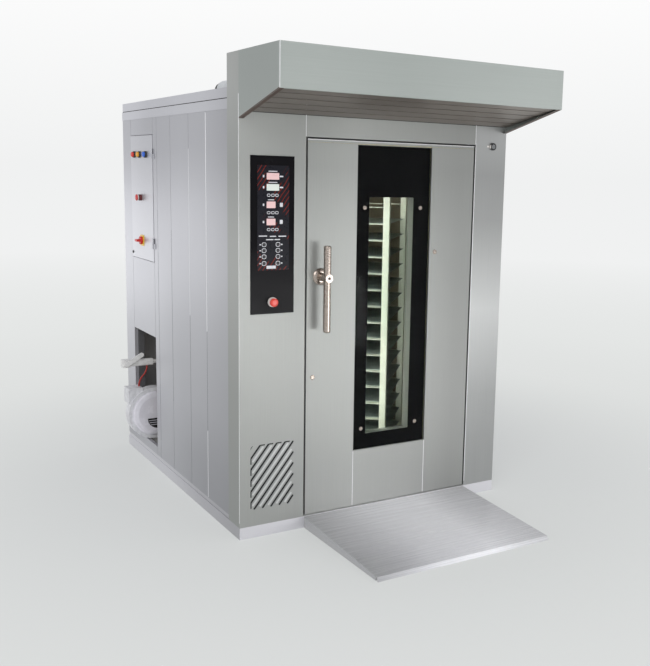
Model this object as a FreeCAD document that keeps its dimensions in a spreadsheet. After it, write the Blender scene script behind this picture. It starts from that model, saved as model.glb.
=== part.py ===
import FreeCAD, Part
import math
import os
import Sketcher

# A rotating rack oven: a stainless body with a flush insulated door, a hood, a turning rack
# that hangs from the roof, a fuel burner in a side bay and a loading ramp.
# Frame: +Z up, the door faces -Y, the origin lies on the floor under the rack's turning axis.
# All sizes are millimetres.

SIZES = {
    # outer body
    "opening_wide": 1036, "opening_high": 1950, "sill_high": 66,
    "left_pillar_wide": 353, "right_pillar_wide": 211,
    "front_to_axis": 700, "axis_to_back": 1220,
    "plinth_high": 62, "ledge_high": 24, "ledge_inset": 4, "ledge_wide": 40, "rail_wide": 60,
    "roof_high": 2238, "trim_upper": 53, "trim_lower": 50, "trim_step": 3, "deck_drop": 4,
    "fascia_rise": 157, "fascia_deep": 145,
    "sheet_thick": 2, "panel_deep": 20, "panel_inset": 2, "seam_gap": 3, "post_wide": 40, "post_lap": 8,
    "side_panel_1": 297, "side_panel_2": 258, "side_panel_3": 298, "side_panel_4": 243,
    "side_panel_5": 71, "right_panels": 6, "rear_panels": 3,
    "bay_wide": 436, "bay_low": 138, "bay_high": 688, "cabinet_low": 1285, "cabinet_high": 750,
    "bay_deep": 230,
    # chamber and its walls
    "chamber_half": 600, "ceiling_high": 2060, "duct_wide": 145, "insulation_thick": 98,
    "floor_plate": 4, "bottom_plate": 3, "supply_strips": 8, "supply_slot": 20,
    "return_low": 1800, "return_bars": 7, "return_bar_wide": 40,
    "partition_thick": 20, "rear_insulation": 60,
    # door
    "door_gap": 3, "door_thick": 72, "inner_skin": 2, "gasket_thick": 13.7, "gasket_wide": 22,
    "seat_gap": 0.3, "stop_from_axis": 455, "stop_thick": 6, "hinge_side": 475,
    "hinge_back": 14, "hinge_pin": 8, "hinge_fit": 0.05, "hinge_reach": 34, "jamb_thick": 3.7,
    "glass_left": -223, "glass_right": 229, "glass_low": 377, "glass_high": 1988,
    "clear_left": -144, "clear_right": 129, "clear_low": 458, "clear_high": 1724,
    "glass_recess": 8, "glass_thick": 6, "mask_thick": 2, "inner_glass_back": 60,
    "skin_seam": 1.5, "top_fold": 20,
    "stud_round": 11, "stud_proud": 4, "stud_left": -175, "stud_right": 169,
    "stud_high": 1670, "stud_low": 491,
    "plug_round": 13, "plug_proud": 3, "plug_left": -471, "plug_left_high": 803,
    "plug_right": 266, "plug_right_high": 1432,
    "handle_side": -432, "handle_high": 1322, "rose_round": 43, "rose_proud": 14,
    "seam_up": 95, "seam_down": 165, "seam_half": 1.5, "seam_sink": 1.2, "cap_proud": 5,
    "dimple_round": 9, "dimple_deep": 2,
    "boss_round": 21, "bar_round": 19, "bar_out": 76, "bar_up": 163, "bar_down": 277,
    "spindle_round": 8, "latch_side": 20, "latch_out": 15, "latch_long": 70, "latch_travel": 18,
    # controls on the left front
    "panel_left": -813, "panel_right": -581, "panel_low_z": 1148, "panel_high_z": 1918,
    "panel_thick": 4, "panel_proud": 1.5, "panel_fit": 0.5,
    "film_left": -777, "film_right": -609, "film_low": 1368, "film_high": 1872, "film_thick": 0.8,
    "key_proud": 0.8, "column_left": -729, "column_right": -662, "wide_display": 66,
    "small_display": 47, "display_high": 32, "bar_key_high": 16,
    "display_1": 1804, "display_2": 1751, "display_3": 1667, "display_4": 1584,
    "bar_row_1": 1721, "bar_row_2": 1637, "bar_row_3": 1555, "bar_row_4": 1364,
    "button_row_1": 1490, "button_row_2": 1461, "button_row_3": 1431, "button_row_4": 1398,
    "button_wide": 22, "button_high": 14,
    "estop_side": -698, "estop_high": 1206, "estop_round": 21, "estop_collar": 24,
    "estop_collar_thick": 10, "estop_head": 16, "estop_stem": 9, "estop_travel": 6,
    "lamp_side": 634, "lamp_high": 2010, "lamp_bezel": 20, "lamp_bezel_thick": 10,
    "lamp_button": 12, "lamp_button_long": 22, "lamp_travel": 4, "lamp_label_left": 596,
    "lamp_label_wide": 16, "lamp_label_high": 10,
    # cooling louvres in the left front
    "louvre_left": -813, "louvre_right": -575, "louvre_low": 148, "louvre_high": 484,
    "louvre_first": 16, "louvre_pitch": 46, "louvre_slot": 7, "louvre_angle": 51.5,
    "louvre_count": 11, "louvres_off_corner": 6,
    "louvre_corner": 20,
    # hood
    "hood_deep": 453, "hood_low": 2198, "cheek_low": 2086, "hood_flange": 22,
    "slats": 5, "slat_wide": 77, "slat_gap": 11, "slat_rise": 0.1928, "slat_front_z": 2205,
    "slat_first": 8,
    # rack drive on the roof
    "gearbox_half": 90, "gearbox_high": 110, "rack_motor_round": 55, "rack_motor_long": 240,
    "sleeve_round": 22, "hanger_round": 15, "shaft_fit": 0.05, "sleeve_low": 1960,
    "shaft_hole": 32,
    # rack
    "rack_turn": 49.7, "rack_half_wide": 350, "rack_half_deep": 400, "rack_tube": 35,
    "rack_low": 190, "rack_high": 1880, "shelf_first": 284, "shelf_pitch": 92, "shelves": 16,
    "shelf_thick": 3, "shelf_wide": 58, "sheet_half_wide": 310, "sheet_half_deep": 390,
    "tray_thick": 2, "hanger_half": 150, "hanger_high": 20, "hanger_top": 2030,
    "castor_side": 300, "castor_deep": 345, "wheel_round": 50, "wheel_wide": 30,
    "castor_trail": 30, "axle_round": 6, "fork_gap": 3, "fork_thick": 4, "kingpin_round": 8,
    "castor_plate": 6,
    # fan, its motor and belt
    "fan_side": -291, "fan_high": 1900, "fan_round": 130, "fan_front": 660, "fan_deep": 150,
    "fan_case_half": 146, "fan_case_front": 640, "fan_case_deep": 220, "fan_inlet": 100,
    "fan_hub": 28, "fan_blades": 10, "fan_shaft": 14, "fan_pulley": 70, "pulley_wide": 30,
    "pulley_front": 950, "bearing_front": 880, "bearing_deep": 40, "bearing_half": 45,
    "motor_high": 2345, "motor_round": 62, "motor_front": 660, "motor_long": 260,
    "motor_foot": 50, "motor_pulley": 45, "motor_shaft": 12, "belt_thick": 8, "belt_wide": 18,
    "belt_room": 12, "belt_clear": 20, "fan_plate": 4, "fan_inset": 20, "shaft_tail": 8,
    "hub_back": 40, "hub_long": 38,
    # heat exchanger and flue
    "drum_side": -500, "drum_long": 1000, "drum_behind": 320, "drum_round": 190,
    "burner_high": 306, "exchanger_tube": 30, "exchanger_columns": 8, "exchanger_pitch": 110,
    "exchanger_first": -385, "exchanger_row": 80, "header_low": 560, "header_high": 90,
    "header_half": 130, "tube_top": 1450, "flue_side": 330, "flue_round": 75, "flue_wall": 2,
    "spigot_rise": 92, "steam_side": 330, "steam_deep": 300, "steam_round": 60,
    "damper_fit": 2, "damper_high": 2262, "damper_shaft": 5, "damper_lever": 70,
    "damper_clear": 18, "damper_thick": 3, "damper_reach": 10, "damper_lever_gap": 6,
    "damper_lever_thick": 6, "damper_lever_half": 7,
    "drum_wall": 4, "header_wall": 3, "tube_wall": 2, "header_end": 80,
    "neck_in": 100, "neck_wide": 60, "neck_half": 60, "neck_lap": 12,
    "cradle_in": 120, "cradle_thick": 30, "cradle_half": 120, "cradle_lap": 57,
    # burner and fuel line in the side bay
    "burner_side": -823, "burner_lead": 100, "burner_rim": 165, "rim_deep": 70,
    "blower_round": 120, "burner_deep": 150,
    "cover_round": 140, "cover_dome": 22, "cover_bead": 8, "cover_shoulder": 30,
    "blast_round": 55, "blast_lap": 60, "mouth_fit": 6,
    "stand_reach": 110, "stand_in": 30, "stand_lap": 12,
    "control_box_left": -984, "control_box_wide": 88, "control_box_low": 378,
    "control_box_high": 96, "control_box_in": 10, "control_box_deep": 100,
    "box_arm_lap": 20, "box_arm_in": 20, "box_arm_rise": 4, "box_arm_high": 60,
    "pipe_deep": 862, "pipe_high": 628, "pipe_round": 22, "pipe_end": -816,
    "nipple_round": 12, "nipple_lap": 5, "valve_side": -985, "valve_half": 24,
    "valve_cap": 3, "valve_cap_round": 16, "valve_stem": 12, "lever_long": 105,
    "lever_wide": 28, "lever_thick": 6, "lever_hub": 15, "lever_tilt": 31,
    "hose_round": 5, "hose_side": -851, "hose_inset": 8, "hose_straight": 35,
    "cascade_rows": 4, "cascade_pitch": 260,
    "cascade_half": 320, "cascade_wide": 110, "cascade_thick": 45, "cascade_first": 220,
    "spray_round": 14, "lamp_box_wide": 40, "lamp_box_deep": 36, "lamp_box_low": 1250,
    "lamp_box_high": 400, "lamp_box_inset": 12,
    # electrical cabinet
    "cabinet_door_gap": 3, "cabinet_return": 18, "cabinet_knuckle": 5, "cabinet_pin": 2.5,
    "light_high": 1922, "light_1": 735, "light_2": 856, "light_3": 959, "light_round": 20,
    "light_proud": 24, "switch_deep": 846, "switch_high": 1662, "switch_round": 19,
    "switch_base": 16, "switch_cap": 14, "switch_stem": 8, "switch_travel": 5,
    "isolator_deep": 838, "isolator_high": 1400, "isolator_half": 33, "isolator_plate": 4,
    "isolator_base": 12, "isolator_crown": 14, "isolator_taper": 3, "grip_half": 7,
    "grip_inset": 2, "stem_reach": 6, "isolator_round": 24, "isolator_out": 42, "lock_deep": 1033, "lock_high": 1314,
    "lock_round": 9, "hinge_in": 80, "hinge_top_in": 140, "knuckle_tall": 30,
    "hinge_leaf": 3, "hinge_leaf_long": 32, "hinge_leaf_clear": 2,
    "rail_thick": 8, "rail_tall": 30, "rail_first": 60, "rail_long": 340,
    "rail_low": 1400, "rail_high": 1700, "contactors": 4, "contactor_deep": 80,
    "contactor_first": 70, "contactor_pitch": 80, "contactor_wide": 55,
    "contactor_low": 1380, "contactor_high": 80, "controller_deep": 100,
    "controller_first": 80, "controller_wide": 150, "controller_low": 1660,
    "controller_high": 120, "transformer_deep": 90, "transformer_first": 260,
    "transformer_wide": 120, "transformer_low": 1665, "transformer_high": 100,
    # ramp
    "ramp_half": 512, "ramp_front": 1461, "ramp_back_high": 60,
    "ramp_lip_back": 1449, "ramp_lip_high": 20, "ramp_plate": 3, "ramp_rib": 30,
    "rib_short": 10,
}

# Places worked out from the sizes, kept in a second sheet.
PLACES = {
    "left_face": "-opening_wide / 2 - left_pillar_wide",
    "right_face": "opening_wide / 2 + right_pillar_wide",
    "front_face": "-front_to_axis",
    "back_face": "axis_to_back",
    "half_opening": "opening_wide / 2",
    "opening_top": "sill_high + opening_high",
    "side_front": "front_face + fascia_deep",
    "fascia_high": "roof_high + fascia_rise",
    "drum_deep": "back_face - drum_behind",
    "burner_front": "drum_deep - burner_lead",
    "spigot_top": "roof_high + spigot_rise",
    "panel_low": "plinth_high + ledge_high",
    "trim_top": "roof_high - trim_upper",
    "trim_low": "roof_high - trim_upper - trim_lower",
    "panel_out_left": "left_face + panel_inset",
    "panel_in_left": "left_face + panel_inset + panel_deep",
    "panel_out_right": "right_face - panel_inset",
    "panel_in_right": "right_face - panel_inset - panel_deep",
    "panel_in_back": "back_face - panel_inset - panel_deep",
    "deck_top": "roof_high - deck_drop",
    "duct_outer": "-chamber_half - sheet_thick - duct_wide",
    "chamber_front": "front_face + door_thick + inner_skin + gasket_thick + seat_gap",
    "lining_front": "chamber_front + stop_thick",
    "bay_front": "side_front + side_panel_1 + side_panel_2 + side_panel_3 + side_panel_4"
                 " + side_panel_5",
    "bay_back": "bay_front + bay_wide",
    "bay_inner": "panel_out_left + bay_deep",
    "door_half": "opening_wide / 2 - door_gap",
    "door_low": "sill_high + door_gap",
    "door_top": "sill_high + opening_high - door_gap",
    "door_back": "front_face + door_thick",
    "hinge_deep": "front_face + hinge_back",
    "glass_front": "front_face + glass_recess",
    "mask_front": "glass_front + glass_thick + seat_gap",
    "window_core_front": "mask_front + mask_thick + seat_gap",
    "inner_glass_front": "front_face + inner_glass_back",
    "hood_front": "front_face - hood_deep",
    "insulation_top": "ceiling_high + sheet_thick + insulation_thick",
    "wheel_centre": "sill_high + seat_gap + wheel_round",
    "bar_deep": "front_face - bar_out",
    "ramp_back": "front_to_axis + seat_gap",
}

doc = FreeCAD.newDocument("RackOven")
sizes_sheet = doc.addObject("Spreadsheet::Sheet", "Sizes")
places_sheet = doc.addObject("Spreadsheet::Sheet", "Places")
nodes = []


def qualified(text):
    """Put the sheet's name before each alias in an expression."""
    words = []
    word = ""
    for letter in text + " ":
        if letter.isalnum() or letter == "_":
            word += letter
            continue
        if word in SIZES:
            word = "Sizes." + word
        elif word in PLACES:
            word = "Places." + word
        words.append(word + letter)
        word = ""
    return "".join(words).strip()


def fill_sheets():
    for row, (alias, number) in enumerate(SIZES.items(), start=1):
        sizes_sheet.set(f"A{row}", str(number))
        sizes_sheet.setAlias(f"A{row}", alias)
    doc.recompute()
    for row, (alias, formula) in enumerate(PLACES.items(), start=1):
        places_sheet.set(f"A{row}", "=" + qualified(formula).replace("Places.", ""))
        places_sheet.setAlias(f"A{row}", alias)
        doc.recompute()


def size(alias):
    """A number from the sheets, for counts and for shapes worked out in code."""
    sheet = sizes_sheet if alias in SIZES else places_sheet
    return float(getattr(sheet, alias))


def bind(item, field, text):
    item.setExpression(field, qualified(text))


def put(item, x, y, z):
    bind(item, "Placement.Base.x", x)
    bind(item, "Placement.Base.y", y)
    bind(item, "Placement.Base.z", z)


def block(name, x0, x1, y0, y1, z0, z1):
    """A box between two places on each axis."""
    item = doc.addObject("Part::Box", name)
    bind(item, "Length", f"({x1}) - ({x0})")
    bind(item, "Width", f"({y1}) - ({y0})")
    bind(item, "Height", f"({z1}) - ({z0})")
    put(item, x0, y0, z0)
    return item


TURNS = {
    "X": FreeCAD.Rotation(FreeCAD.Vector(0, 1, 0), 90),
    "Y": FreeCAD.Rotation(FreeCAD.Vector(1, 0, 0), -90),
    "Z": FreeCAD.Rotation(),
}


def rod(name, along, x, y, z, radius, length):
    """A round bar from a point, running to the plus side of an axis."""
    item = doc.addObject("Part::Cylinder", name)
    item.Placement = FreeCAD.Placement(FreeCAD.Vector(0, 0, 0), TURNS[along])
    bind(item, "Radius", radius)
    bind(item, "Height", length)
    put(item, x, y, z)
    return item


def cut(name, base, *tools):
    """The base less one tool or several."""
    tool = tools[0]
    if len(tools) > 1:
        tool = doc.addObject("Part::MultiFuse", name + "_tools")
        tool.Shapes = list(tools)
    item = doc.addObject("Part::Cut", name)
    item.Base = base
    item.Tool = tool
    return item


def fuse(name, *shapes):
    item = doc.addObject("Part::MultiFuse", name)
    item.Shapes = list(shapes)
    return item


def tube(name, along, x, y, z, outer, inner, length):
    whole = rod(name + "_outer", along, x, y, z, outer, length)
    bore = rod(name + "_bore", along, x, y, z, inner, length)
    return cut(name, whole, bore)


def group(name, shapes):
    """Several separate solids that make one node."""
    item = doc.addObject("Part::Compound", name)
    item.Links = list(shapes)
    return item


def keep(label, item):
    item.Label = label
    nodes.append(item)
    return item


def outlined_body(name, plane, points):
    """A body with one sketch of straight lines, each corner bound to the sheets."""
    body = doc.addObject("PartDesign::Body", name)
    sketch = body.newObject("Sketcher::SketchObject", name + "_outline")
    base = [p for p in body.Origin.OriginFeatures if p.Role == plane][0]
    sketch.AttachmentSupport = [(base, "")]
    sketch.MapMode = "FlatFace"
    count = len(points)
    corners = [FreeCAD.Vector(across[1], up[1], 0) for across, up in points]
    for i in range(count):
        sketch.addGeometry(Part.LineSegment(corners[i], corners[(i + 1) % count]), False)
    for i in range(count):
        sketch.addConstraint(Sketcher.Constraint("Coincident", i, 2, (i + 1) % count, 1))
    for i, corner in enumerate(points):
        for kind, (text, number) in zip(("DistanceX", "DistanceY"), corner):
            row = sketch.addConstraint(Sketcher.Constraint(kind, -1, 1, i, 1, number))
            bind(sketch, f"Constraints[{row}]", text)
    return body, sketch


def padded_body(name, plane, points, length, offset="0"):
    """A sheet or bar of one outline, from an offset along the plane's normal."""
    body, sketch = outlined_body(name, plane, points)
    bind(sketch, "AttachmentOffset.Base.z", offset)
    pad = body.newObject("PartDesign::Pad", name + "_solid")
    pad.Profile = sketch
    bind(pad, "Length", length)
    body.Tip = pad
    return body


# A turned outline is drawn on XZ with its axis up; these lay that axis along -Y, -X or Z.
TURNS_OF_UP = {
    "-Y": FreeCAD.Rotation(FreeCAD.Vector(1, 0, 0), 90),
    "-X": FreeCAD.Rotation(FreeCAD.Vector(0, 1, 0), -90),
    "Z": FreeCAD.Rotation(),
}


def revolved(name, steps, x, y, z, up):
    """A turned piece from radius and height pairs, set at a point with its axis along up."""
    points = [("0", steps[0][1])] + list(steps) + [("0", steps[-1][1])]
    body, sketch = outlined_body(name, "XZ_Plane", outline(*points))
    solid = body.newObject("PartDesign::Revolution", name + "_solid")
    solid.Profile = sketch
    solid.ReferenceAxis = (sketch, ["V_Axis"])
    solid.Angle = 360
    body.Tip = solid
    body.Placement = FreeCAD.Placement(FreeCAD.Vector(0, 0, 0), TURNS_OF_UP[up])
    put(body, x, y, z)
    return body


def spot(text):
    """A sketch coordinate: its expression, and the number that it stands for now."""
    probe = doc.addObject("Part::Vertex", "probe")
    probe.setExpression("X", qualified(text))
    doc.recompute()
    number = probe.X.Value
    doc.removeObject(probe.Name)
    return text, number


def outline(*pairs):
    return [(spot(across), spot(up)) for across, up in pairs]


def tray(name, x0, x1, y0, y1, z0, z1, open_to):
    """A folded panel: a sheet with its four edges turned in towards open_to."""
    whole = block(name + "_whole", x0, x1, y0, y1, z0, z1)
    side = {"x": [x0, x1], "y": [y0, y1]}
    inset = "sheet_thick"
    low = {"x": f"{x0} + {inset}", "y": f"{y0} + {inset}"}
    high = {"x": f"{x1} - {inset}", "y": f"{y1} - {inset}"}
    axis, direction = open_to[1], open_to[0]
    if direction == "+":
        high[axis] = side[axis][1]
    else:
        low[axis] = side[axis][0]
    room = block(name + "_room", low["x"], high["x"], low["y"], high["y"],
                 f"{z0} + {inset}", f"{z1} - {inset}")
    return cut(name, whole, room)


# ---- outer body ----

def base_frame():
    """Rails on the floor, and the ledges that the wall panels stand on."""
    front, back = "front_face + rail_wide", "back_face - rail_wide"
    keep("base_frame", group("base_frame", frame_posts() + [
        block("rail_front", "left_face", "right_face", "front_face", front, "0", "plinth_high"),
        block("rail_back", "left_face", "right_face", back, "back_face", "0", "plinth_high"),
        block("rail_left", "left_face", "left_face + rail_wide", front, back, "0", "plinth_high"),
        block("rail_right", "right_face - rail_wide", "right_face", front, back, "0",
              "plinth_high"),
        block("ledge_left", "left_face + ledge_inset", "left_face + ledge_inset + ledge_wide",
              "side_front", "back_face - ledge_inset", "plinth_high", "panel_low"),
        block("ledge_right", "right_face - ledge_inset - ledge_wide", "right_face - ledge_inset",
              "side_front", "back_face - ledge_inset", "plinth_high", "panel_low"),
        block("ledge_back", "left_face + ledge_inset + ledge_wide",
              "right_face - ledge_inset - ledge_wide", "back_face - ledge_inset - ledge_wide",
              "back_face - ledge_inset", "plinth_high", "panel_low"),
    ]))


def frame_posts():
    """Square posts that carry the roof, inside the side panels."""
    left = ("panel_in_left", "panel_in_left + post_wide")
    right = ("panel_in_right - post_wide", "panel_in_right")
    rows = [("side_front", "side_front + post_wide"),
            ("panel_in_back - post_wide", "panel_in_back")]
    posts = []
    for side, (x0, x1) in (("left", left), ("right", right)):
        for end, (y0, y1) in zip(("front", "back"), rows):
            posts.append(block(f"post_{side}_{end}", x0, x1, y0, y1, "panel_low", "trim_low"))
    for end, y0 in (("front", "bay_front + post_lap - post_wide"), ("back", "bay_back - post_lap")):
        posts.append(block(f"post_bay_{end}", *left, y0, f"{y0} + post_wide", "panel_low",
                           "trim_low"))
    return posts


def floor_panel():
    """The pan under the oven and the plate that the rack rolls on."""
    keep("floor_panel", group("floor_panel", [
        block("pan", "left_face + rail_wide", "right_face - rail_wide", "front_face + rail_wide",
              "back_face - rail_wide", "0", "bottom_plate"),
        block("deck_plate", "duct_outer", "chamber_half + sheet_thick", "chamber_front",
              "chamber_half + sheet_thick", "sill_high - floor_plate", "sill_high"),
    ]))


def pillar_profile(outer, inner, inward):
    """The folded sheet of one front pillar, seen from above."""
    back = "front_face + sheet_thick"
    return outline((outer, "front_face"), (inner, "front_face"), (inner, back),
                   (f"{outer} {inward} sheet_thick", back),
                   (f"{outer} {inward} sheet_thick", "side_front"), (outer, "side_front"))


def louvre_cutter():
    """Slanting slots, trimmed to a panel with round corners."""
    bars = []
    for i in range(int(size("louvre_count"))):
        bar = doc.addObject("Part::Box", f"louvre_bar_{i}")
        turn = FreeCAD.Rotation(FreeCAD.Vector(0, 1, 0), 1)
        bar.Placement = FreeCAD.Placement(FreeCAD.Vector(0, 0, 0), turn)
        bind(bar, "Placement.Rotation.Angle", "90 - louvre_angle")
        bind(bar, "Length", "louvre_slot")
        bind(bar, "Width", "3 * sheet_thick")
        bind(bar, "Height", "2 * (louvre_high - louvre_low)")
        below = "(louvre_high - louvre_low) * 0.3"
        put(bar, f"louvre_left + louvre_first + ({i} - louvres_off_corner) * louvre_pitch"
            f" - {below} / tan(louvre_angle * 1deg)", "front_face - sheet_thick",
            f"louvre_low - {below}")
        bars.append(bar)
    field = block("louvre_field", "louvre_left", "louvre_right", "front_face - sheet_thick",
                  "front_face + 2 * sheet_thick", "louvre_low", "louvre_high")
    rounded = doc.addObject("Part::Fillet", "louvre_field_round")
    rounded.Base = field
    doc.recompute()
    upright = []
    for number, edge in enumerate(field.Shape.Edges, start=1):
        ends = [vertex.Point for vertex in edge.Vertexes]
        if abs(ends[0].y - ends[1].y) > 1:
            upright.append((number, size("louvre_corner"), size("louvre_corner")))
    rounded.Edges = upright
    slots = doc.addObject("Part::MultiCommon", "louvre_slots")
    slots.Shapes = [group("louvre_bars", bars), rounded]
    return slots


def left_pillar():
    body = padded_body("left_pillar_sheet", "XY_Plane",
                     pillar_profile("left_face", "-half_opening", "+"),
                     "fascia_high - plinth_high", "plinth_high")
    window = block("panel_window", "panel_left - panel_fit", "panel_right + panel_fit",
                   "front_face - sheet_thick", "front_face + 2 * sheet_thick",
                   "panel_low_z - panel_fit", "panel_high_z + panel_fit")
    keep("left_pillar", cut("left_pillar", body, window, louvre_cutter()))


def right_pillar():
    body = padded_body("right_pillar_sheet", "XY_Plane",
                     pillar_profile("right_face", "half_opening", "-"),
                     "fascia_high - plinth_high", "plinth_high")
    hole = rod("lamp_hole", "Y", "lamp_side", "front_face - sheet_thick", "lamp_high",
               "lamp_button + seat_gap", "3 * sheet_thick")
    keep("right_pillar", cut("right_pillar", body, hole))


def lintel():
    """The sheet over the door and the closed top of the fascia."""
    inside_left, inside_right = "left_face + sheet_thick", "right_face - sheet_thick"
    keep("lintel", group("lintel", [
        block("lintel_front", "-half_opening", "half_opening", "front_face",
              "front_face + sheet_thick", "opening_top", "fascia_high"),
        block("fascia_cap", inside_left, inside_right, "front_face + sheet_thick",
              "side_front - sheet_thick", "fascia_high - sheet_thick", "fascia_high"),
        block("fascia_back", inside_left, inside_right, "side_front - sheet_thick", "side_front",
              "roof_high", "fascia_high"),
    ]))


def left_wall_panels():
    """The left wall: five panels, one behind the bay, and three over one another at the bay."""
    panels = []
    start = "side_front"
    for i in range(1, 6):
        end = f"{start} + side_panel_{i}"
        panels.append(tray(f"left_panel_{i}", "panel_out_left", "panel_in_left",
                           f"{start} + seam_gap / 2", f"{end} - seam_gap / 2",
                           "panel_low", "trim_low", "+x"))
        start = end
    panels.append(tray("left_panel_rear", "panel_out_left", "panel_in_left",
                       "bay_back + seam_gap / 2", "back_face - panel_inset", "panel_low",
                       "trim_low", "+x"))
    stack = [("foot", "panel_low", "bay_low"),
             ("middle", "bay_low + bay_high", "cabinet_low - seam_gap"),
             ("top", "cabinet_low + cabinet_high + seam_gap", "trim_low")]
    for name, low, high in stack:
        panels.append(tray(f"bay_panel_{name}", "panel_out_left", "panel_in_left",
                           "bay_front + seam_gap / 2", "bay_back - seam_gap / 2", low, high,
                           "+x"))
    return panels


def panel_row(name, count, x0, x1, y0, y1, open_to):
    """Panels of one width between two places."""
    panels = []
    for i in range(count):
        if open_to[1] == "x":
            step = f"(({y1}) - ({y0})) / {count}"
            low, high = f"{y0} + {i} * {step}", f"{y0} + {i + 1} * {step}"
            panels.append(tray(f"{name}_{i + 1}", x0, x1, f"{low} + seam_gap / 2",
                               f"{high} - seam_gap / 2", "panel_low", "trim_low", open_to))
        else:
            step = f"(({x1}) - ({x0})) / {count}"
            low, high = f"{x0} + {i} * {step}", f"{x0} + {i + 1} * {step}"
            panels.append(tray(f"{name}_{i + 1}", f"{low} + seam_gap / 2",
                               f"{high} - seam_gap / 2", y0, y1, "panel_low", "trim_low",
                               open_to))
    return panels


def right_and_rear_panels():
    right = panel_row("right_panel", int(size("right_panels")), "panel_in_right",
                      "panel_out_right", "side_front", "back_face - panel_inset", "-x")
    rear = panel_row("rear_panel", int(size("rear_panels")), "panel_in_left",
                     "panel_in_right", "panel_in_back", "back_face - panel_inset", "-y")
    return right + rear


def roof_trim():
    """Two bands of trim round the top of the body."""
    wide = "panel_inset + panel_deep"
    bands = []
    for name, step, low, high in (("lower", "0", "trim_low", "trim_top"),
                                  ("upper", "trim_step", "trim_top", "roof_high")):
        left, right = f"left_face + {step}", f"right_face - {step}"
        back = f"back_face - {step}"
        bands += [
            block(f"band_left_{name}", left, f"left_face + {wide}", "side_front", back, low,
                  high),
            block(f"band_right_{name}", f"right_face - ({wide})", right, "side_front", back,
                  low, high),
            block(f"band_back_{name}", f"left_face + {wide}", f"right_face - ({wide})",
                  f"back_face - ({wide})", back, low, high),
        ]
    return bands


def wall_panels():
    keep("wall_panels", group("wall_panels", left_wall_panels() + right_and_rear_panels()
                              + roof_trim()))


def roof_deck():
    """The top sheet, with holes for the rack shaft, the belt and the two flues."""
    deck = block("deck", "panel_in_left", "panel_in_right", "side_front", "panel_in_back",
                 "deck_top - sheet_thick", "deck_top")
    high = "5 * sheet_thick"
    low = "deck_top - 3 * sheet_thick"
    keep("roof_deck", cut("roof_deck", deck, *roof_holes("deck", low, high)))


def roof_holes(name, low, high):
    """What passes through the roof: the same holes in the deck and in the slab below it."""
    belt_half = "motor_pulley + 2 * belt_thick + belt_clear"
    return [
        rod(f"{name}_shaft_hole", "Z", "0", "0", low, "shaft_hole", high),
        rod(f"{name}_flue_hole", "Z", "flue_side", "drum_deep", low,
            "flue_round - flue_wall + seat_gap", high),
        rod(f"{name}_steam_hole", "Z", "steam_side", "steam_deep", low,
            "steam_round - flue_wall + seat_gap", high),
        block(f"{name}_belt_hole", f"fan_side - ({belt_half})", f"fan_side + {belt_half}",
              "pulley_front - belt_room", "pulley_front + pulley_wide + belt_room", low,
              f"{low} + {high}"),
    ]


def wall_insulation():
    """Mineral wool slabs between the chamber and the outer panels."""
    behind = "chamber_half + sheet_thick"
    roof_low = "ceiling_high + sheet_thick"
    keep("wall_insulation", group("wall_insulation", [
        block("wool_left", "panel_in_left + seat_gap", "duct_outer - sheet_thick",
              "side_front + post_wide", "bay_front + post_lap - post_wide", "panel_low",
              roof_low),
        block("wool_right", behind, "panel_in_right - seat_gap",
              "side_front + post_wide", behind, "panel_low", roof_low),
        block("wool_floor", "left_face + rail_wide", "right_face - rail_wide",
              "front_face + rail_wide", "back_face - rail_wide", "bottom_plate",
              "sill_high - floor_plate"),
        block("wool_back", "bay_inner + partition_thick", "panel_in_right - post_wide",
              "panel_in_back - post_wide - rear_insulation", "panel_in_back - post_wide",
              "sill_high", roof_low),
    ]))


def ceiling_insulation():
    """The slab over the chamber, with holes for all that passes through the roof."""
    low = "ceiling_high + sheet_thick"
    slab = block("wool_slab", "panel_in_left + post_wide", "panel_in_right - post_wide",
                 "chamber_front", "panel_in_back - post_wide", low, "insulation_top")
    holes = roof_holes("wool", f"{low} - sheet_thick", "insulation_thick + 2 * sheet_thick")
    keep("ceiling_insulation", cut("ceiling_insulation", slab, *holes))


def chamber_walls():
    """The chamber's lining: side and back sheets, the slotted air wall, the duct, the bay's
    inner wall."""
    inside, outside = "chamber_half", "chamber_half + sheet_thick"
    floor, top = "sill_high", "ceiling_high"
    walls = [
        block("wall_right", inside, outside, "lining_front", outside, floor, top),
        block("wall_back", "duct_outer", inside, inside, outside, floor, "return_low"),
        block("duct_side", "duct_outer - sheet_thick", "duct_outer", "lining_front", outside,
              floor, f"{top} + sheet_thick"),
        bay_partition(),
    ]
    strips = int(size("supply_strips"))
    step = f"(chamber_half - lining_front) / {strips}"
    for i in range(strips):
        walls.append(block(f"air_strip_{i + 1}", "-chamber_half - sheet_thick", "-chamber_half",
                           f"lining_front + {i} * {step}",
                           f"lining_front + {i + 1} * {step} - supply_slot", floor, top))
    bars = int(size("return_bars"))
    step = f"(2 * chamber_half - return_bar_wide) / {bars - 1}"
    for i in range(bars):
        walls.append(block(f"return_bar_{i + 1}", f"-chamber_half + {i} * {step}",
                           f"-chamber_half + {i} * {step} + return_bar_wide", inside, outside,
                           "return_low", top))
    keep("chamber_walls", group("chamber_walls", walls + chamber_lamps()))


def chamber_ceiling():
    """The ceiling sheet, with holes for the rack's shaft and the steam pipe."""
    low = "ceiling_high - sheet_thick"
    sheet = block("ceiling", "duct_outer", "chamber_half + sheet_thick", "lining_front",
                  "chamber_half + sheet_thick", "ceiling_high", "ceiling_high + sheet_thick")
    holes = [rod("ceiling_shaft_hole", "Z", "0", "0", low, "shaft_hole", "3 * sheet_thick"),
             rod("ceiling_steam_hole", "Z", "steam_side", "steam_deep", low,
                 "steam_round - flue_wall + seat_gap", "3 * sheet_thick")]
    keep("chamber_ceiling", cut("chamber_ceiling", sheet, *holes))


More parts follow.
